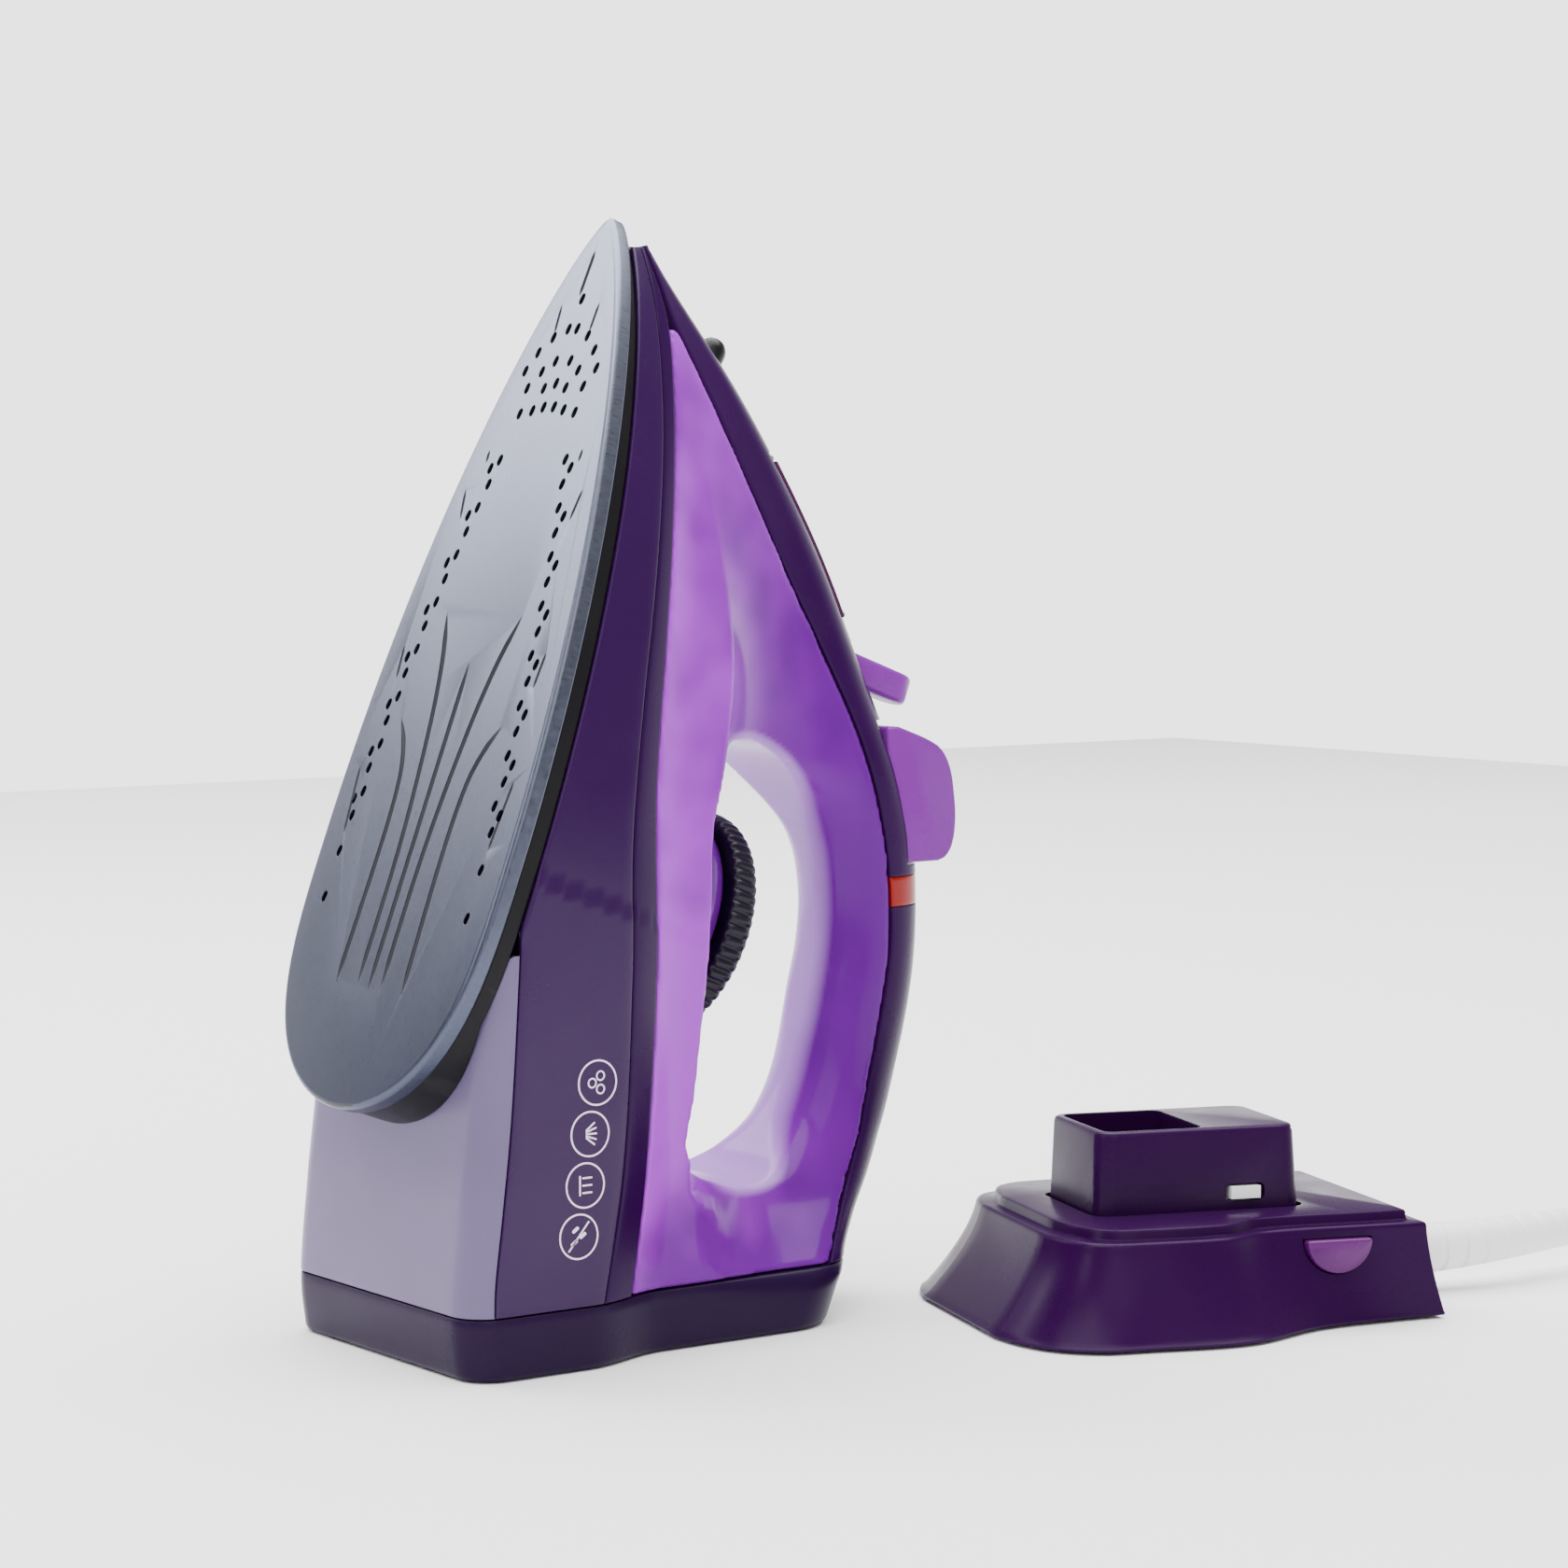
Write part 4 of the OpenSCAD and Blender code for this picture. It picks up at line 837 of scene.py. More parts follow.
lid_rows = [(back_surface(0, z), z) for z in np.linspace(LID_LOW - 0.4, LID_HIGH + 2.2, 14)]
lid_cutter = prism("tool", [(x + 6, z) for x, z in lid_rows]
                   + [(x - 12, z) for x, z in lid_rows[::-1]], -LID_HALF - 0.35, LID_HALF + 0.35,
                   across)
button_cutter = prism("tool", [(80, 119.3), (130, 119.3), (130, 160), (80, 160)],
                      -BUTTON_HALF - 0.5, BUTTON_HALF + 0.5, across)


def sole_box(name, n0, n1, y0, y1, s0, s1, material=None, body=None):
    outline = [(n0, s0), (n1, s0), (n1, s1), (n0, s1)]
    return prism(name, outline, y0, y1, lambda a, b, h: on_sole(a, h, b), material, body)


lever_cutter = sole_box("tool", 105, 146, -11, 11, TAB_ALONG - 5.9, TAB_ALONG + 5.4)
lens_cutter = prism("tool", [(80, LENS_LOW - 0.15), (130, LENS_LOW - 0.15),
                             (130, LENS_HIGH + 0.15), (80, LENS_HIGH + 0.15)], -80, 80, across)
NOZZLE_AT, NOZZLE_TILT = Vector((47, 0, 257.5)), math.radians(32)
NOZZLE_AXIS = Vector((math.sin(NOZZLE_TILT), 0, math.cos(NOZZLE_TILT)))
nozzle_cutter = lathe("tool", [(4.3, -8), (4.3, 8)], NOZZLE_AT, NOZZLE_AXIS, None, None, 32)
cut(cover, lid_cutter, button_cutter, lever_cutter, lens_cutter, nozzle_cutter, angle=40)
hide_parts("top_cover")

lens = panel("indicator_window", cover_grid(np.linspace(LENS_LOW + LIP, LENS_HIGH - LIP, 12)),
             M["lens"], "iron", LIP, DEPTH - 0.2, (20, 0, 112))
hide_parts("indicator_lens")

# heel band: a closed foot with a socket for the power base
def footprint(z, inset):
    """Closed outline of the heel at a height."""
    a, b = float(rear_x(z)), float(back_x(z))
    quarter = 1 - np.cos(np.linspace(0, math.pi / 2, 18))
    x = np.concatenate([a + CORNER_R * quarter,
                        np.linspace(a + CORNER_R, b - BACK_R, 40)[1:-1],
                        b - BACK_R * quarter[::-1]])
    y = half_at(x, z)
    near = list(zip(x, -y))
    far = list(zip(x[::-1], y[::-1]))[1:]
    front = [(a, v) for v in np.linspace(y[0], -y[0], 20)[1:-1]]
    return inset_outline(near + far + front, inset)


heel_levels = [(0, 1.4), (0.3, 0.7), (0.9, 0.2), (1.7, 0)] \
    + [(z, 0) for z in (4, 7, 10, 13)] + [(HEEL_H - 0.5, 0), (HEEL_H - 0.15, 0.15), (HEEL_H, 0.5)]
heel = rings_solid("heel_band_shell",
                   [[(x, y, z) for x, y in footprint(max(z, 0.01), d + 0.1)] for z, d in heel_levels],
                   M["heel"], "iron", 35)
socket = rounded_rect((-42.8, -22.8), (22.8, 22.8), 6.8)
cutters = [prism("tool", socket, -1, 20, lambda a, b, h: (a, b, h))]
HEEL_SCREWS = [(-49, 30), (-49, -30), (54, 0)]
for x, y in HEEL_SCREWS:
    cutters.append(lathe("tool", [(3, -1), (3, 2.6)], (x, y, 0), (0, 0, 1), None, None, 32))
cut(heel, *cutters)
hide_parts("heel_band")

# ------------------------------------------------------------------ tank and handle


def tank_columns(z):
    """Distances x of the tank's columns of points at a height, closer where it curves more."""
    a = float(tank_x(z)) + SEAM / 2
    b = float(cover_x(z)) - SEAM / 2
    d, g = float(deck_x(z)), float(grip_x(z))
    t = float(ease((z - 140) / 30))
    low = np.concatenate([np.linspace(a, d - 1.5, 14), [d - 0.7, d, d + 0.7, d + 1.6, d + 3, d + 5],
                          np.linspace(d + 5, g, 8)[1:], g + 16 * (1 - np.cos(np.linspace(
                              0.12, math.pi / 2, 14))), np.linspace(g + 16, b, 6)[1:]])
    low = np.minimum(low, b)
    high = a + (b - a) * np.linspace(0, 1, len(low))
    return low * (1 - t) + high * t


tank_rows = []
for z in np.concatenate([np.linspace(HEEL_TOP, 262, 130), [265]]):
    x = np.maximum.accumulate(tank_columns(z) + np.arange(46) * 1e-4)
    tank_rows.append(np.stack([x, half_at(x, z), np.full(len(x), z)], axis=1))
tank_rows = np.array(tank_rows)
m, n, _ = tank_rows.shape
near = (tank_rows * [1, -1, 1]).reshape(-1, 3)
far = tank_rows.reshape(-1, 3)
faces = grid_faces(m, n) + grid_faces(m, n, start=m * n)
for i in range(m - 1):
    for j in (0, n - 1):
        faces.append((i * n + j, (i + 1) * n + j, m * n + (i + 1) * n + j, m * n + i * n + j))
for j in range(n - 1):
    for i in (0, m - 1):
        faces.append((i * n + j, i * n + j + 1, m * n + i * n + j + 1, m * n + i * n + j))
tank = make("tank_and_handle", list(near) + list(far), faces, M["tank"], "iron")
opening = prism("tool", closed_curve(HAND_OPENING, 8), -80, 80, across)
button_room = prism("tool", [(92.6, 118.6), (112, 118.6), (112, 161), (92.6, 161)],
                    -BUTTON_HALF - 0.8, BUTTON_HALF + 0.8, across)
stem_room = sole_box("tool", 114.5, 130, -10.8, 10.8, 126.6, 135.4)
cut(tank, opening, button_room, stem_room)
remesh = tank.modifiers.new("remesh", "REMESH")
remesh.mode = "VOXEL"
VOXEL, QUICK_VOXEL = 1.0, 1.6
remesh.voxel_size = VOXEL * MM
bake(tank)
smoothing = tank.modifiers.new("smooth", "SMOOTH")
smoothing.factor = 0.5
smoothing.iterations = 6
bake(tank)
tank.data.materials.clear()
tank.data.materials.append(M["tank"])
smooth_faces(tank.data)

# painted light on the tank: how pale the wall beside the hand opening is painted, for the tank's
# colour
THIN_WALL, THIN_FROM, THIN_FULL = 2.8, 26, 40
rim = closed_curve(HAND_OPENING, 24)
rim_tree = KDTree(len(rim))
for k, (x, z) in enumerate(rim):
    rim_tree.insert((x * MM, 0, z * MM), k)
rim_tree.balance()
painted_rim_light = []
for v in tank.data.vertices:
    off = rim_tree.find((v.co.x, 0, v.co.z))[2] / MM
    side = float(clamp01((v.co.x / MM - THIN_FROM) / (THIN_FULL - THIN_FROM)))
    painted_rim_light.append(max(0.0, 1 - off / THIN_WALL) * side)
tank.data.attributes.new("painted_rim_light", "FLOAT", "POINT").data.foreach_set("value", painted_rim_light)
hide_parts("tank_shell")

# ------------------------------------------------------------------ dial and pedestal

DIAL_H, DIAL_TOP, DIAL_ALONG = 9.0, 89.8, 75.3
DIAL_RIBS, RIB_DEPTH, RIB_INNER_R = 60, 0.75, 29
dial_base = on_sole(DIAL_TOP - DIAL_H, 0, DIAL_ALONG)
dial_profile = [(20, 0), (29.6, 0), (30.4, 0.2), (31.0, 0.7), (31.3, 1.4), (31.4, 2.2),
                (31.4, 3.4), (31.4, 5), (31.3, 6), (31.0, 6.9), (30.4, 7.7), (29.4, 8.4), (28.6, 8.75),
                (27.8, 8.9), (26.6, 8.85), (25.6, 8.4), (24.9, 8.0), (20, 7.9), (10, 8.1)]


def dial_ripple(r, h, t):
    if r < RIB_INNER_R or not 0.5 < h < 8.5:
        return r
    return r - RIB_DEPTH * (0.5 - 0.5 * math.cos(DIAL_RIBS * t)) ** 2


dial = lathe("dial_knob", dial_profile, dial_base, AWAY, M["dial"], "dial", 720, 60, dial_ripple)
marks = []
for k in range(24):
    if k in (0, 1, 22, 23):
        continue
    t = 2 * math.pi * k / 24
    c, s = math.cos(t), math.sin(t)
    length = 2.6 if k % 4 == 2 else 1.6
    ring = [(24.0 - length, -0.25), (24.0, -0.25), (24.0, 0.25), (24.0 - length, 0.25)]
    marks.append([[on_sole(DIAL_TOP - DIAL_H + h, r * s + w * c, DIAL_ALONG + r * c - w * s)
                   for r, w in ring] for h in (7.85, 8.06)])
tick = joined_tool(marks)
tick.name = "dial_marks"
tick.data.materials.append(M["ink"])
smooth_faces(tick.data, 30)
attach(tick, "dial")
bar = prism("dial_pointer", rounded_rect((-2.6, 8), (2.6, 23.5), 2.5), DIAL_TOP - DIAL_H + 7.6,
            DIAL_TOP - DIAL_H + 8.9, lambda a, b, h: on_sole(h, a, DIAL_ALONG + b),
            M["dial"], "dial")
bevelled(bar, 0.5)
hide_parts("dial")

pedestal = lathe("dial_pedestal_shell",
                 [(3.5, 62), (30.8, 62), (30.7, 70), (30.4, 73), (29.7, 75.6), (28.6, 77.8),
                  (27.4, 79.4), (26.6, 80.0), (25.4, 80.2), (3.5, 80.2)],
                 on_sole(0, 0, DIAL_ALONG), AWAY, M["pedestal"], "iron", 128, 40)
inner = prism("tool", closed_curve(HAND_OPENING, 8), -70, 70, across)
boolean(pedestal, "INTERSECT", [inner], 40)
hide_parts("dial_pedestal")

# ------------------------------------------------------------------ buttons, lever, lid, nozzle


BUTTON_TOP = Line([(120.0, 117.2), (120.9, 119.8), (124.5, 122.3), (131, 123.4), (139, 122.9),
                   (146.5, 121.3), (151.6, 118), (154.3, 113.2), (157.9, 103.5)])
BUTTON_INNER = 99


def button(name, side):
    """One of the two push buttons, beside each other with a narrow gap."""
    z_top = np.concatenate([np.linspace(120.0, 124.5, 8), np.linspace(124.5, 150, 14)[1:],
                            np.linspace(150, 157.9, 8)[1:]])
    shape = [(BUTTON_INNER, z_top[0])] + [(float(BUTTON_TOP(z)), z) for z in z_top] \
        + [(BUTTON_INNER, z_top[-1])]
    low, high = (0.25, BUTTON_HALF) if side > 0 else (-BUTTON_HALF, -0.25)
    obj = prism(name + "_cap", shape, low, high, across, M["control"], name, 60)
    bevelled(obj, 1.1, 4, 55, 60)
    return obj


for name, side in (("spray_button", -1), ("steam_button", 1)):
    piece = button(name, side)
    stem = lathe(name + "_stem", [(0.01, 121.5), (3.0, 121.5), (3.2, 121.9), (3.2, 146)],
                 on_sole(0, side * 6.4, 131), AWAY, M["control"], name, 32, 40)
    join(name + "_cap", [piece, stem], name)

TAB_BASE, TAB_END, TAB_HALF, TAB_ROUND, PIVOT_ALONG = 106.0, 131.5, 5.5, 5.9, 149
half_turn = [-math.pi / 2 + math.pi * k / 12 for k in range(1, 12)]
tab_outline = [(TAB_BASE, -TAB_HALF), (TAB_END, -TAB_HALF)] \
    + [(TAB_END + TAB_ROUND * math.cos(t), TAB_HALF * math.sin(t)) for t in half_turn] \
    + [(TAB_END, TAB_HALF), (TAB_BASE, TAB_HALF)]
tab = prism("steam_lever_tab", tab_outline, TAB_ALONG - 4, TAB_ALONG + 4,
            lambda a, b, h: on_sole(a, b, h), M["control"], "steam_lever")
bevelled(tab, 1.3, 4)
hub = lathe("steam_lever_hub", [(2.1, 112), (5, 112), (5, 117), (2.1, 117)],
            on_sole(0, 0, PIVOT_ALONG), AWAY, M["control"], "steam_lever", 48, 40)
arm = sole_box("steam_lever_arm", 112.6, 116.4, -4, 4, 152.5, TAB_ALONG - 2, M["control"],
               "steam_lever")
bevelled(arm, 0.4)
join("steam_lever_tab", [tab, hub, arm], "steam_lever")

lid_y = np.sin(np.linspace(-math.pi / 2, math.pi / 2, 27)) * (LID_HALF - LIP)
lid_grid = []
for z in np.linspace(LID_LOW + LIP, LID_HIGH - LIP, 40):
    lid_grid.append([(back_surface(y, z) + LID_PROUD, y, z) for y in lid_y])
lid = panel("filler_lid_shell", np.array(lid_grid), M["lid"], "lid", LIP, 2.4, (20, 0, 210))
knuckle = tube("lid_knuckle", [(63.3, y, 231.4) for y in (-5, -4.6, 0, 4.6, 5)],
               [1.5, 1.9, 1.9, 1.9, 1.5], M["lid"], "lid", 24, 40)
catch_x = back_surface(0, 189)
catch = prism("lid_catch", [(catch_x - 2, 189.5), (catch_x + 0.2, 192.5), (catch_x + 3.2, 188.8),
                            (catch_x + 2.6, 188.0), (catch_x - 1.5, 188.0)], -4.5, 4.5, across,
              M["lid"], "lid")
bevelled(catch, 0.4)
join("filler_lid_shell", [lid, knuckle, catch], "filler_lid")

nozzle = lathe("spray_nozzle_tip", [(0.01, -5), (4, -5), (4, 2.6), (3.9, 3.6), (3.6, 4.6), (3.0, 5.5),
                                    (2.3, 6.2), (1.5, 6.6), (0.9, 6.65), (0.75, 6.4), (0.7, 4.8),
                                    (0.01, 4.8)], NOZZLE_AT, NOZZLE_AXIS, M["black"], "iron", 48, 40)
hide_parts("spray_nozzle")

# ------------------------------------------------------------------ generic marks on the side


def side_place(x, z, lift=0.05):
    return (x, -float(half_at(x, z)) - lift, z)


def decal(name, outer, inner_loop=None):
    """Thin printed shape on the near side: a filled outline, or a band between two loops."""
    if inner_loop is None:
        cx = sum(p[0] for p in outer) / len(outer)
        cz = sum(p[1] for p in outer) / len(outer)
        inner_loop = [(cx + (x - cx) * 0.02, cz + (z - cz) * 0.02) for x, z in outer]
    n = len(outer)
    points = []
    for lift in (0.06, -0.25):
        points += [side_place(x, z, lift) for x, z in outer]
        points += [side_place(x, z, lift) for x, z in inner_loop]
    faces = []
    for k in range(n):
        q = (k + 1) % n
        faces += [(k, q, n + q, n + k), (2 * n + k, 3 * n + k, 3 * n + q, 2 * n + q),
                  (k, 2 * n + k, 2 * n + q, q), (n + k, n + q, 3 * n + q, 3 * n + k)]
    return make(name, points, faces, M["ink"], "iron", 30)


def circle(cx, cz, r, n=48):
    return [(cx + r * c, cz + r * s) for c, s in round_steps(n)]


def bar_shape(cx, cz, w, h, angle=0.0):
    c, s = math.cos(angle), math.sin(angle)
    return [(cx + a * c - b * s, cz + a * s + b * c)
            for a, b in rounded_rect((-w / 2, -h / 2), (w / 2, h / 2), min(w, h) * 0.4, 3)]


ICON_R = 5.9
ICONS = [(-19.5, 73.4), (-21.8, 60.5), (-23.3, 47.5), (-25.3, 34.6)]
marks = []
for i, (cx, cz) in enumerate(ICONS):
    marks.append(decal(f"icon_ring_{i}", circle(cx, cz, ICON_R), circle(cx, cz, ICON_R - 0.45)))
    if i == 0:
        for dx, dz in ((-1.6, 0), (0.9, 1.7), (0.9, -1.7)):
            marks.append(decal("icon_dot", circle(cx + dx, cz + dz, 1.35, 20),
                               circle(cx + dx, cz + dz, 0.95, 20)))
    elif i == 1:
        for k in range(5):
            t = (k - 2) * 0.32
            marks.append(decal("icon_ray", bar_shape(cx + 1.6 * math.cos(t) - 1.2,
                                                     cz + 2.6 * math.sin(t) * 1.2, 3.4, 0.45, t)))
    elif i == 2:
        marks.append(decal("icon_bar", bar_shape(cx - 1.6, cz, 0.5, 5.2)))
        for k in (-1, 0, 1):
            marks.append(decal("icon_bar", bar_shape(cx + 0.6, cz + 1.9 * k, 3.0, 0.45)))
    else:
        for dx, dz in ((-1.4, -1.5), (1.2, 0.2), (-1.0, 1.8)):
            marks.append(decal("icon_dot", bar_shape(cx + dx, cz + dz, 2.2, 0.9, 0.6)))
        marks.append(decal("icon_bar", bar_shape(cx, cz, 0.45, 9.6, -0.7)))
join("side_icons", marks, None)

# ------------------------------------------------------------------ power base

DOCK_AT, DOCK_TURN = (101.0, -53.0), math.radians(-18.5)
DOCK_LENGTH, DOCK_FRONT, FRONT_BULGE, LEDGE_END = 119.0, 8.0, 8.0, 113
LEDGE_H, TOWER_H, PLATEAU_H = 26.5, 51.5, 29.4
CORD_EXIT_H, GLAND_R = 11.5, 8.1
foot_half = Line([[0, 28], [2, 37], [6, 46], [12, 52.5], [20, 56.5], [28, 57], [58, 57],
                  [82, 44], [104, 39.5], [117, 38]])
ledge_half = Line([[8, 24], [10, 33], [13, 39.5], [17, 43], [24, 45], [52, 45], [66, 38.5],
                   [104, 38], [113, 37.5]])


def on_dock(u, v, z):
    c, s = math.cos(DOCK_TURN), math.sin(DOCK_TURN)
    return Vector((DOCK_AT[0] + u * c - v * s, DOCK_AT[1] + u * s + v * c, z))


def beside_dock(u, z, v):
    return on_dock(u, v, z)


def dock_ring(z, inset, n=64, ends=10):
    """Closed outline of the base's shell at a height."""
    f = clamp01(1 - z / LEDGE_H) ** 1.5
    a = DOCK_FRONT * (1 - f) - FRONT_BULGE * f + inset
    b = DOCK_LENGTH - 6 * (1 - f) - inset
    q = (1 - np.cos(np.linspace(0, math.pi, n))) / 2
    v = foot_half(DOCK_LENGTH * q) * f \
        + ledge_half(DOCK_FRONT + (LEDGE_END - DOCK_FRONT) * q) * (1 - f) - inset
    u = a + (b - a) * q
    near = list(zip(u, -v))
    far = list(zip(u[::-1], v[::-1]))
    right = [(u[-1], w) for w in np.linspace(-v[-1], v[-1], ends)[1:-1]]
    left = [(u[0], w) for w in np.linspace(v[0], -v[0], ends)[1:-1]]
    return near + right + far + left


def dock_rings(levels):
    return [[on_dock(u, v, z) for u, v in dock_ring(zz, d)] for z, zz, d in levels]


LEDGE_R = 1.1
levels = [(0.5, 0.0, 0.9), (0.7, 0.2, 0.3), (1.2, 0.7, 0.0)]
levels += [(z, z, 0.0) for z in np.linspace(1.8, LEDGE_H - LEDGE_R, 26)]
for t in np.linspace(0.2, math.pi / 2, 6):
    z = LEDGE_H - LEDGE_R + LEDGE_R * math.sin(t)
    levels.append((z, z, LEDGE_R * (1 - math.cos(t))))
levels += [(LEDGE_H, LEDGE_H, 3.4), (LEDGE_H + 0.2, LEDGE_H, 3.9), (LEDGE_H + 0.7, LEDGE_H, 4.1)]
levels += [(PLATEAU_H - 0.8, LEDGE_H, 4.2), (PLATEAU_H - 0.25, LEDGE_H, 4.45),
           (PLATEAU_H, LEDGE_H, 5.1)]
dock = rings_solid("dock_shell_moulding", dock_rings(levels), M["dock"], "dock", 50)
inner_levels = [(-1, 0, WALL)] + [(z, z, WALL) for z in (2, 5, 8, 12, 16, 20)] \
    + [(LEDGE_H - WALL, LEDGE_H - WALL, WALL)]


def half_moon(centre_z, wide, high, steps):
    """Outline of the release button or of its opening in the side of the base."""
    return [(86.5 + wide * math.cos(math.pi + math.pi * k / steps),
             centre_z + high * math.sin(math.pi + math.pi * k / steps)) for k in range(steps + 1)]


cutters = [rings_solid("tool", dock_rings(inner_levels), None, None),
           prism("tool", rounded_rect((24, -20.5), (86, 20.5), 5), 20, 40, on_dock),
           prism("tool", half_moon(23.55, 10.1, 9.7, 24), -62, -32, beside_dock)]
gland = [[on_dock(u, GLAND_R * c, CORD_EXIT_H + GLAND_R * s) for c, s in round_steps(32)]
         for u in (100, 140)]
cutters.append(rings_solid("tool", gland, None, None))
cut(dock, *cutters)
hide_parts("dock_shell")


def box_rings(levels):
    """Rings of a rounded box: each level is (z, corner a, corner b, radius)."""
    return [[on_dock(u, v, z) for u, v in rounded_rect(a, b, r)] for z, a, b, r in levels]


tower_levels = [(21, (25.2, -19.6), (84.8, 19.6), 5), (30, (25.2, -19.6), (84.8, 19.6), 5),
                (TOWER_H - 1.4, (25.9, -19.0), (83.6, 19.0), 5),
                (TOWER_H - 0.8, (26.05, -18.9), (83.4, 18.9), 4.9),
                (TOWER_H - 0.3, (26.3, -18.6), (83.1, 18.6), 4.6),
                (TOWER_H, (26.9, -18.0), (82.5, 18.0), 4.0)]
tower = rings_solid("dock_tower_moulding", box_rings(tower_levels), M["dock"], "dock", 40)
CONTACT_U, CONTACT_R = 42, 2


def tower_tool(z0, z1, a, b):
    return rings_solid("tool", box_rings([(z0, a, b, 3), (z1, a, b, 3)]), None, None)


cutters = [tower_tool(33, 60, (28.4, -16.5), (57, 16.5)), tower_tool(18, 46, (59.4, -17), (82, 17)),
           tower_tool(18, 30.4, (28.4, -17), (60, 17)),
           prism("tool", rounded_rect((62, 31.6), (73.6, 36.2), 1.6, 5), -24, -15, beside_dock)]
CHAMFER_AT, CHAMFER_SIZE, CHAMFER_TILT = 92, 14, -38
slope = [(CHAMFER_AT + CHAMFER_SIZE * math.cos(t) / math.sqrt(2),
          TOWER_H + CHAMFER_SIZE * math.sin(t) / math.sqrt(2))
         for t in [math.radians(CHAMFER_TILT + 45 + 90 * k) for k in range(4)]]
cutters.append(prism("tool", slope, -40, 40, beside_dock))
for y in (-8, 0, 8):
    cutters.append(rings_solid("tool", [[on_dock(CONTACT_U + CONTACT_R * c, y + CONTACT_R * s, z)
                                         for c, s in round_steps(24)] for z in (20, 40)], None, None))
cut(tower, *cutters)
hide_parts("dock_tower")

release = prism("dock_release_button", half_moon(23.35, 9.55, 9.15, 32), -40.5, -30, beside_dock,
                M["dock_button"], "dock_button")
bevelled(release, 0.9, 4)
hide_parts("dock_button")

# ------------------------------------------------------------------ strain relief, cord and plug

guard_side = Line([[106, 0], [133, 0], [150, 1.6], [166, 5.4], [181.5, 11.4]])
guard_rise = Line([[106, 0], [133, 0.2], [150, 0.8], [166, 1.4], [181.5, 1.5]])


def guard_point(u):
    return on_dock(u, float(guard_side(u)), CORD_EXIT_H + float(guard_rise(u)))


GUARD_FROM, GUARD_TO, TAPER_FROM, GUARD_WIDE, GUARD_NARROW = 112.5, 181.5, 117, 7.55, 5.35
RIBS_FROM, RIBS_TO, RIB_PITCH, RIB_GAP = 121, 175, 6.5, 1.3
guard_path, guard_radii = [guard_point(112.3)], [7.0]
for i in range(161):
    u = GUARD_FROM + (GUARD_TO - GUARD_FROM) * i / 160
    t = max(0.0, (u - TAPER_FROM) / (GUARD_TO - TAPER_FROM))
    r = GUARD_WIDE + (GUARD_NARROW - GUARD_WIDE) * t
    along = (u - RIBS_FROM) % RIB_PITCH
    if RIBS_FROM < u < RIBS_TO and along < RIB_GAP:
        r -= 0.7 * math.sin(math.pi * along / RIB_GAP) ** 0.5
    if u > GUARD_TO - 1:
        r -= 0.9 * (u - GUARD_TO + 1) ** 2
    guard_path.append(guard_point(u))
    guard_radii.append(r)
guard = tube("cord_strain_relief", guard_path, guard_radii, M["white"], "dock", 48, 50)
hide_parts("strain_relief")

CORD_D = 7.0
COIL_AT = (343.0, -130.0)
LEAD = [(276.8, -99.8, 13), (284, -99.4, 12.4), (292, -97.9, 10.6), (301, -95.3, 8.2),
        (310, -92.4, 6), (320, -89.2, 4.4)]
TAIL = [(372, -98.8, 17.4), (380, -104.3, 17.7), (388, -110.5, 16.4), (395, -117.5, 12.6),
        (400, -125.5, 8.6), (403, -134, 5.6), (404.5, -143, 4.6), (405.2, -152, 6.4),
        (405.5, -161, 8.6)]


def coil_points():
    """Turns wound from the outside in, back out on top, and one more in the upper groove."""
    places = [(45.5, 3.55), (38.45, 3.55), (31.4, 3.55), (31.4, 10.6), (38.45, 10.6),
              (45.5, 10.6), (42.0, 16.75)]
    out, steps = [], 24
    for turn, (r, z) in enumerate(places):
        last = turn == len(places) - 1
        nxt = places[turn + 1] if not last else (r, z)
        total = steps if not last else 3
        for k in range(total + (1 if last else 0)):
            t = k / steps
            crossing, climbing = float(ease((t - 0.69) / 0.3)), float(ease((t - 0.38) / 0.28))
            w = climbing if nxt[1] > z else crossing
            rr, zz = r + (nxt[0] - r) * w, z + (nxt[1] - z) * w
            if nxt[1] > z and nxt[0] != r:
                rr += 1.4 * math.sin(math.pi * climbing)
                zz += 1.1 * math.sin(math.pi * crossing)
            a = math.radians(105) - 2 * math.pi * t
            out.append((COIL_AT[0] + rr * math.cos(a), COIL_AT[1] + rr * math.sin(a), zz))
    return out


def smoothed(points, step=2.5):
    """Catmull-Rom curve through the points, about one point every step millimetres."""
    p = [np.array(q, float) for q in points]
    p = [2 * p[0] - p[1]] + p + [2 * p[-1] - p[-2]]
    out = []
    for i in range(1, len(p) - 2):
        a, b, c, d = p[i - 1], p[i], p[i + 1], p[i + 2]
        n = max(1, int(round(np.linalg.norm(c - b) / step)))
        for k in range(n):
            t = k / n
            out.append(0.5 * (2 * b + (c - a) * t + (2 * a - 5 * b + 4 * c - d) * t * t
                              + (3 * b - a - 3 * c + d) * t ** 3))
    out.append(p[-2])
    return out


cord_path = smoothed(LEAD + coil_points() + TAIL)
cord = tube("mains_cord", cord_path, CORD_D / 2, M["cord"], "dock", 14)
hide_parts("cord", "cord_coil")

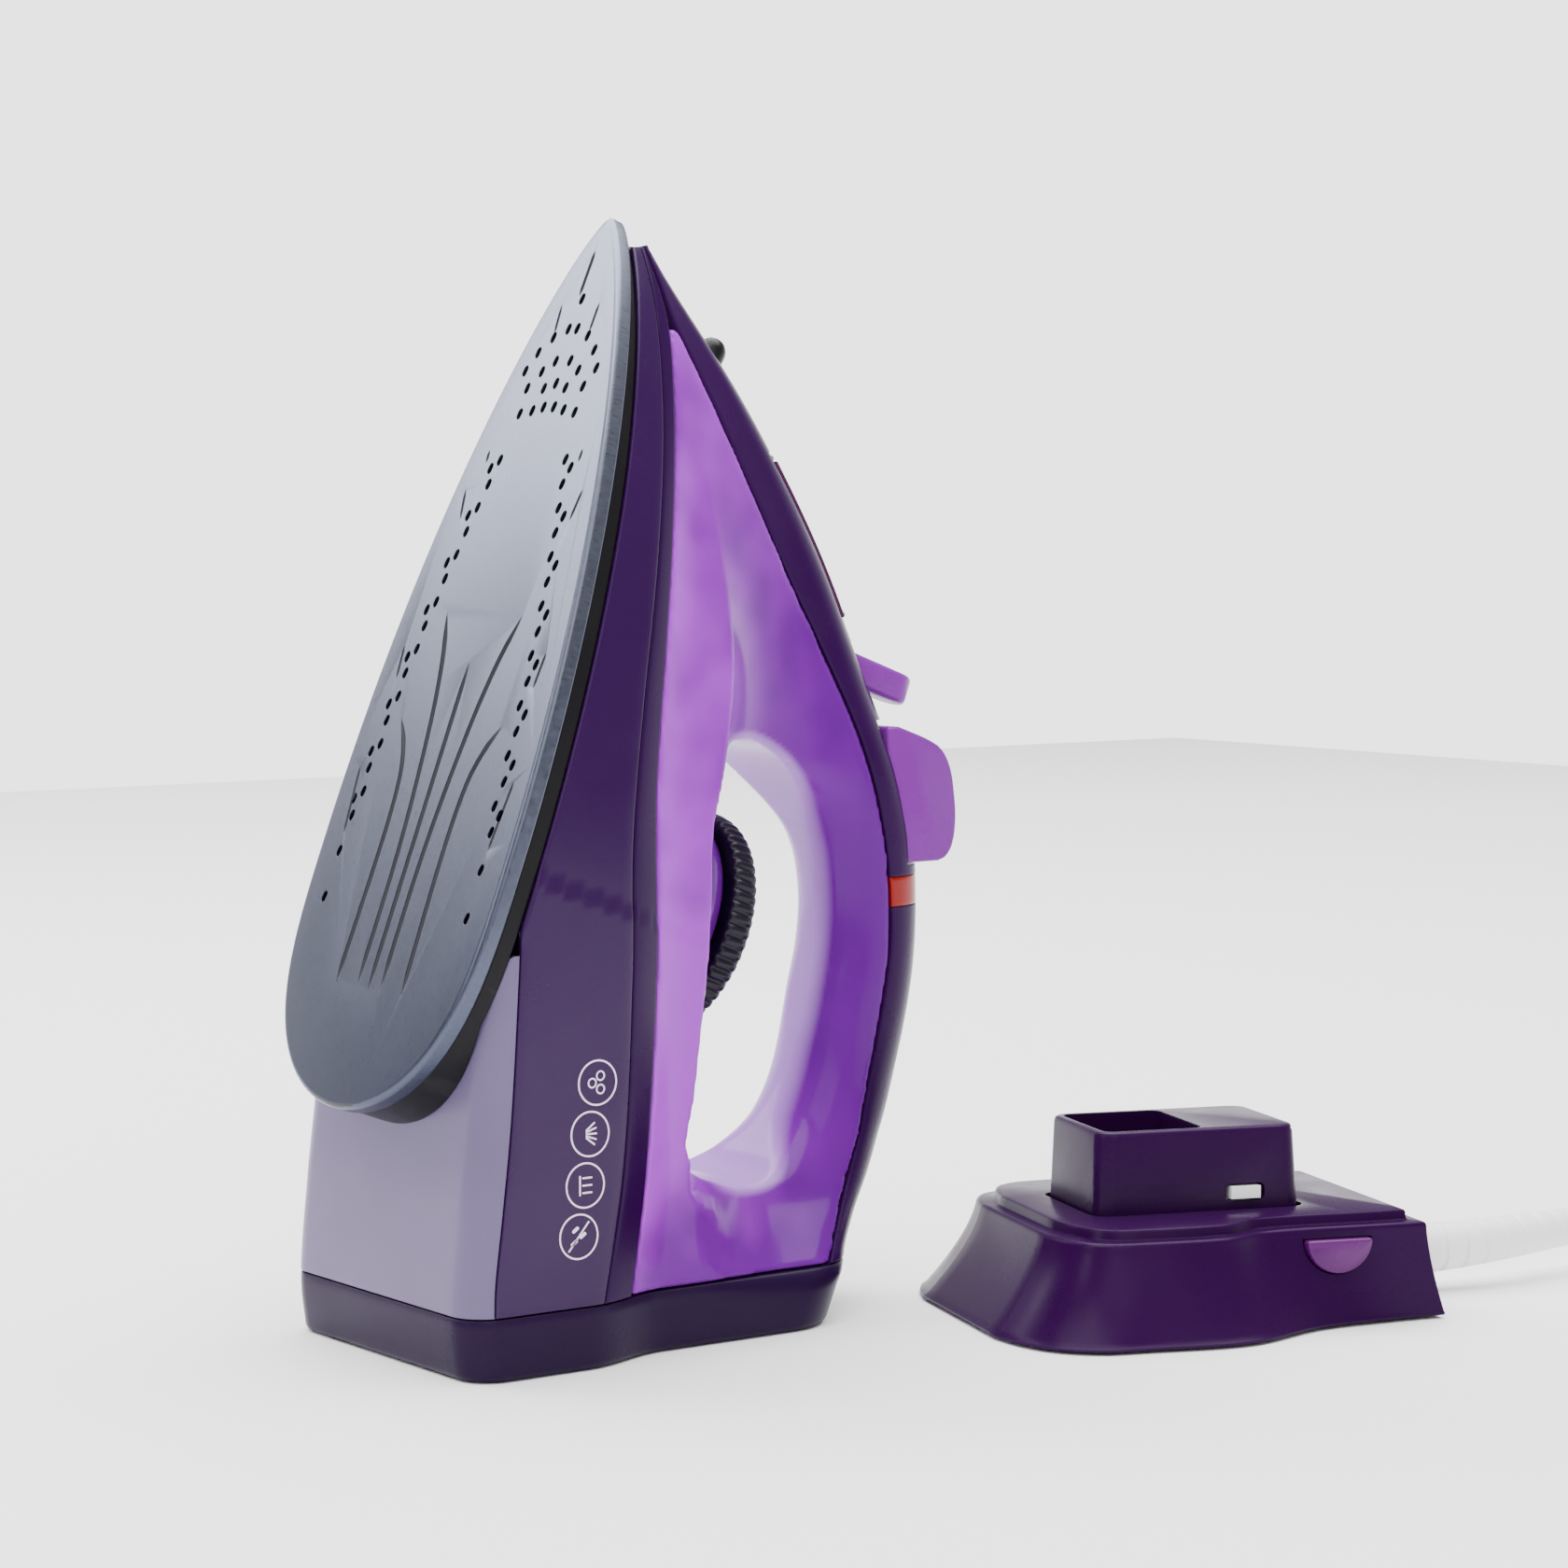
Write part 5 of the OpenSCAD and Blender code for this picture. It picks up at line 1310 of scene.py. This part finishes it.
TIE_HALF, TIE_EDGE, TIE_THICK = 5.6, 0.25, 0.7
tie_loop = []
for c, s in round_steps(40):
    tie_loop.append((COIL_AT[0] + 38.5 + 11.2 * math.copysign(abs(c) ** 0.55, c),
                     10.4 + 9.6 * math.copysign(abs(s) ** 0.6, s)))
tie_points = []
for y, inset in ((-TIE_HALF, TIE_EDGE), (-TIE_HALF + 0.4, 0), (TIE_HALF - 0.4, 0),
                 (TIE_HALF, TIE_EDGE), (TIE_HALF, TIE_THICK), (-TIE_HALF, TIE_THICK)):
    tie_points += [(x, COIL_AT[1] + y, z) for x, z in inset_outline(tie_loop, inset)]
tie = make("cord_tie_strap", tie_points, grid_faces(6, 40, closed_i=True, closed_j=True),
           M["black"], "dock", 40)
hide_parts("cord_tie")

PLUG_AT = (405.5, -161.0, 9.0)


def at_plug(a, b, c):
    """a along the plug's axis away from the cord, b across, c up."""
    return (PLUG_AT[0] + b, PLUG_AT[1] - a, PLUG_AT[2] + c)


plug_levels = [(0, 4.0, 4.0, 3.9), (0.5, 4.6, 4.6, 4.4), (5, 5.2, 5.2, 5.0), (10, 5.9, 5.9, 5.7),
               (13, 7.2, 6.6, 6.0), (15.5, 11.5, 7.9, 6.2), (18, 14.2, 8.7, 6.0),
               (20, 15.0, 8.9, 6.0), (36, 15.0, 8.9, 6.0), (37.3, 14.6, 8.5, 5.6),
               (38, 13.8, 7.7, 5.0)]
plug = rings_solid("plug_housing", [[at_plug(a, b, c) for b, c in rounded_rect((-w, -h), (w, h), r)]
                                    for a, w, h, r in plug_levels], M["white"], "dock", 50)
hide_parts("plug_body")

# ------------------------------------------------------------------ materials of the other CAD nodes

NODE_MATERIAL = {
    "heater_casting": "cast", "heating_element": "element", "steam_chamber_cover": "cast",
    "handle_core": "pedestal", "socket_cup": "black", "heel_contacts": "brass",
    "heel_screws": "steel", "filler_neck": "black", "lid_pin": "steel", "dosing_rod": "steel",
    "spray_pump": "pale", "steam_pump": "pale", "indicator_lamp": "pale", "dial_shaft": "steel",
    "thermostat": "ceramic", "thermal_fuse": "steel", "terminal_block": "ceramic",
    "inner_wires": "wire", "dock_base_plate": "black", "dock_feet": "rubber",
    "dock_contacts": "brass", "dock_terminals": "ceramic", "dock_latch": "white",
    "dock_screws": "steel", "plug_pins": "brass",
}
for node_name, key in NODE_MATERIAL.items():
    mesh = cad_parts[node_name].data
    mesh.materials.clear()
    mesh.materials.append(M[key])

# ------------------------------------------------------------------ floor and light

WORLD_DIM, WORLD_BRIGHT = 0.5, 3.0
BEHIND = (0.589, 0.808, 0.0)
FLOOR_LOW, FLOOR_HIGH = -1.6, 1.9
floor_mesh = bpy.data.meshes.new("floor")
floor_mesh.from_pydata([(FLOOR_LOW, FLOOR_LOW, 0), (FLOOR_HIGH, FLOOR_LOW, 0),
                        (FLOOR_HIGH, FLOOR_HIGH, 0), (FLOOR_LOW, FLOOR_HIGH, 0)], [], [(0, 1, 2, 3)])
floor = bpy.data.objects.new("floor", floor_mesh)
bpy.context.scene.collection.objects.link(floor)
floor.location.z = -0.0003
floor_mesh.materials.append(principled("floor_white", (0.93, 0.93, 0.94), 0.8, spec=0.1)[0])

world = bpy.data.worlds.new("world")
bpy.context.scene.world = world
world.use_nodes = True
sky = world.node_tree
background = sky.nodes["Background"]
background.inputs["Color"].default_value = (1, 1, 1, 1)
direction = sky.nodes.new("ShaderNodeTexCoord").outputs["Generated"]
height = add_node(sky, "SeparateXYZ", {"Vector": direction}).outputs["Z"]
facing = sky.nodes.new("ShaderNodeVectorMath")
facing.operation = "DOT_PRODUCT"
sky.links.new(direction, facing.inputs[0])
facing.inputs[1].default_value = BEHIND
behind = ramp(sky, facing.outputs["Value"], 0.0, 1.0, 0.1, 0.85)
both = sky.nodes.new("ShaderNodeMath")
both.operation = "MULTIPLY"
sky.links.new(behind, both.inputs[0])
sky.links.new(ramp(sky, height, 1.0, 0.0, 0.13, 0.30), both.inputs[1])
sky.links.new(ramp(sky, both.outputs["Value"], WORLD_DIM, WORLD_BRIGHT, 0.0, 1.0),
              background.inputs["Strength"])


def area_light(name, place, target, size, power):
    """Square soft light at a place, turned to a target, metres and watts."""
    data = bpy.data.lights.new(name, "AREA")
    data.shape = "RECTANGLE"
    data.size = size
    data.size_y = size
    data.energy = power
    obj = bpy.data.objects.new(name, data)
    bpy.context.scene.collection.objects.link(obj)
    obj.location = place
    obj.rotation_euler = (Vector(target) - Vector(place)).to_track_quat("-Z", "Y").to_euler()


area_light("nose_glow", (-0.64, 1.2, 1.05), (0, 0, 0.22), 0.8, 14)
area_light("side", (-0.5, -1.6, 1.0), (0.03, 0, 0.14), 1.3, 11)
area_light("left", (-1.6, -0.1, 0.9), (0, 0, 0.12), 0.8, 8)
area_light("overhead", (0.3, 0.5, 2.3), (0.3, 0.5, 0), 3.4, 230)
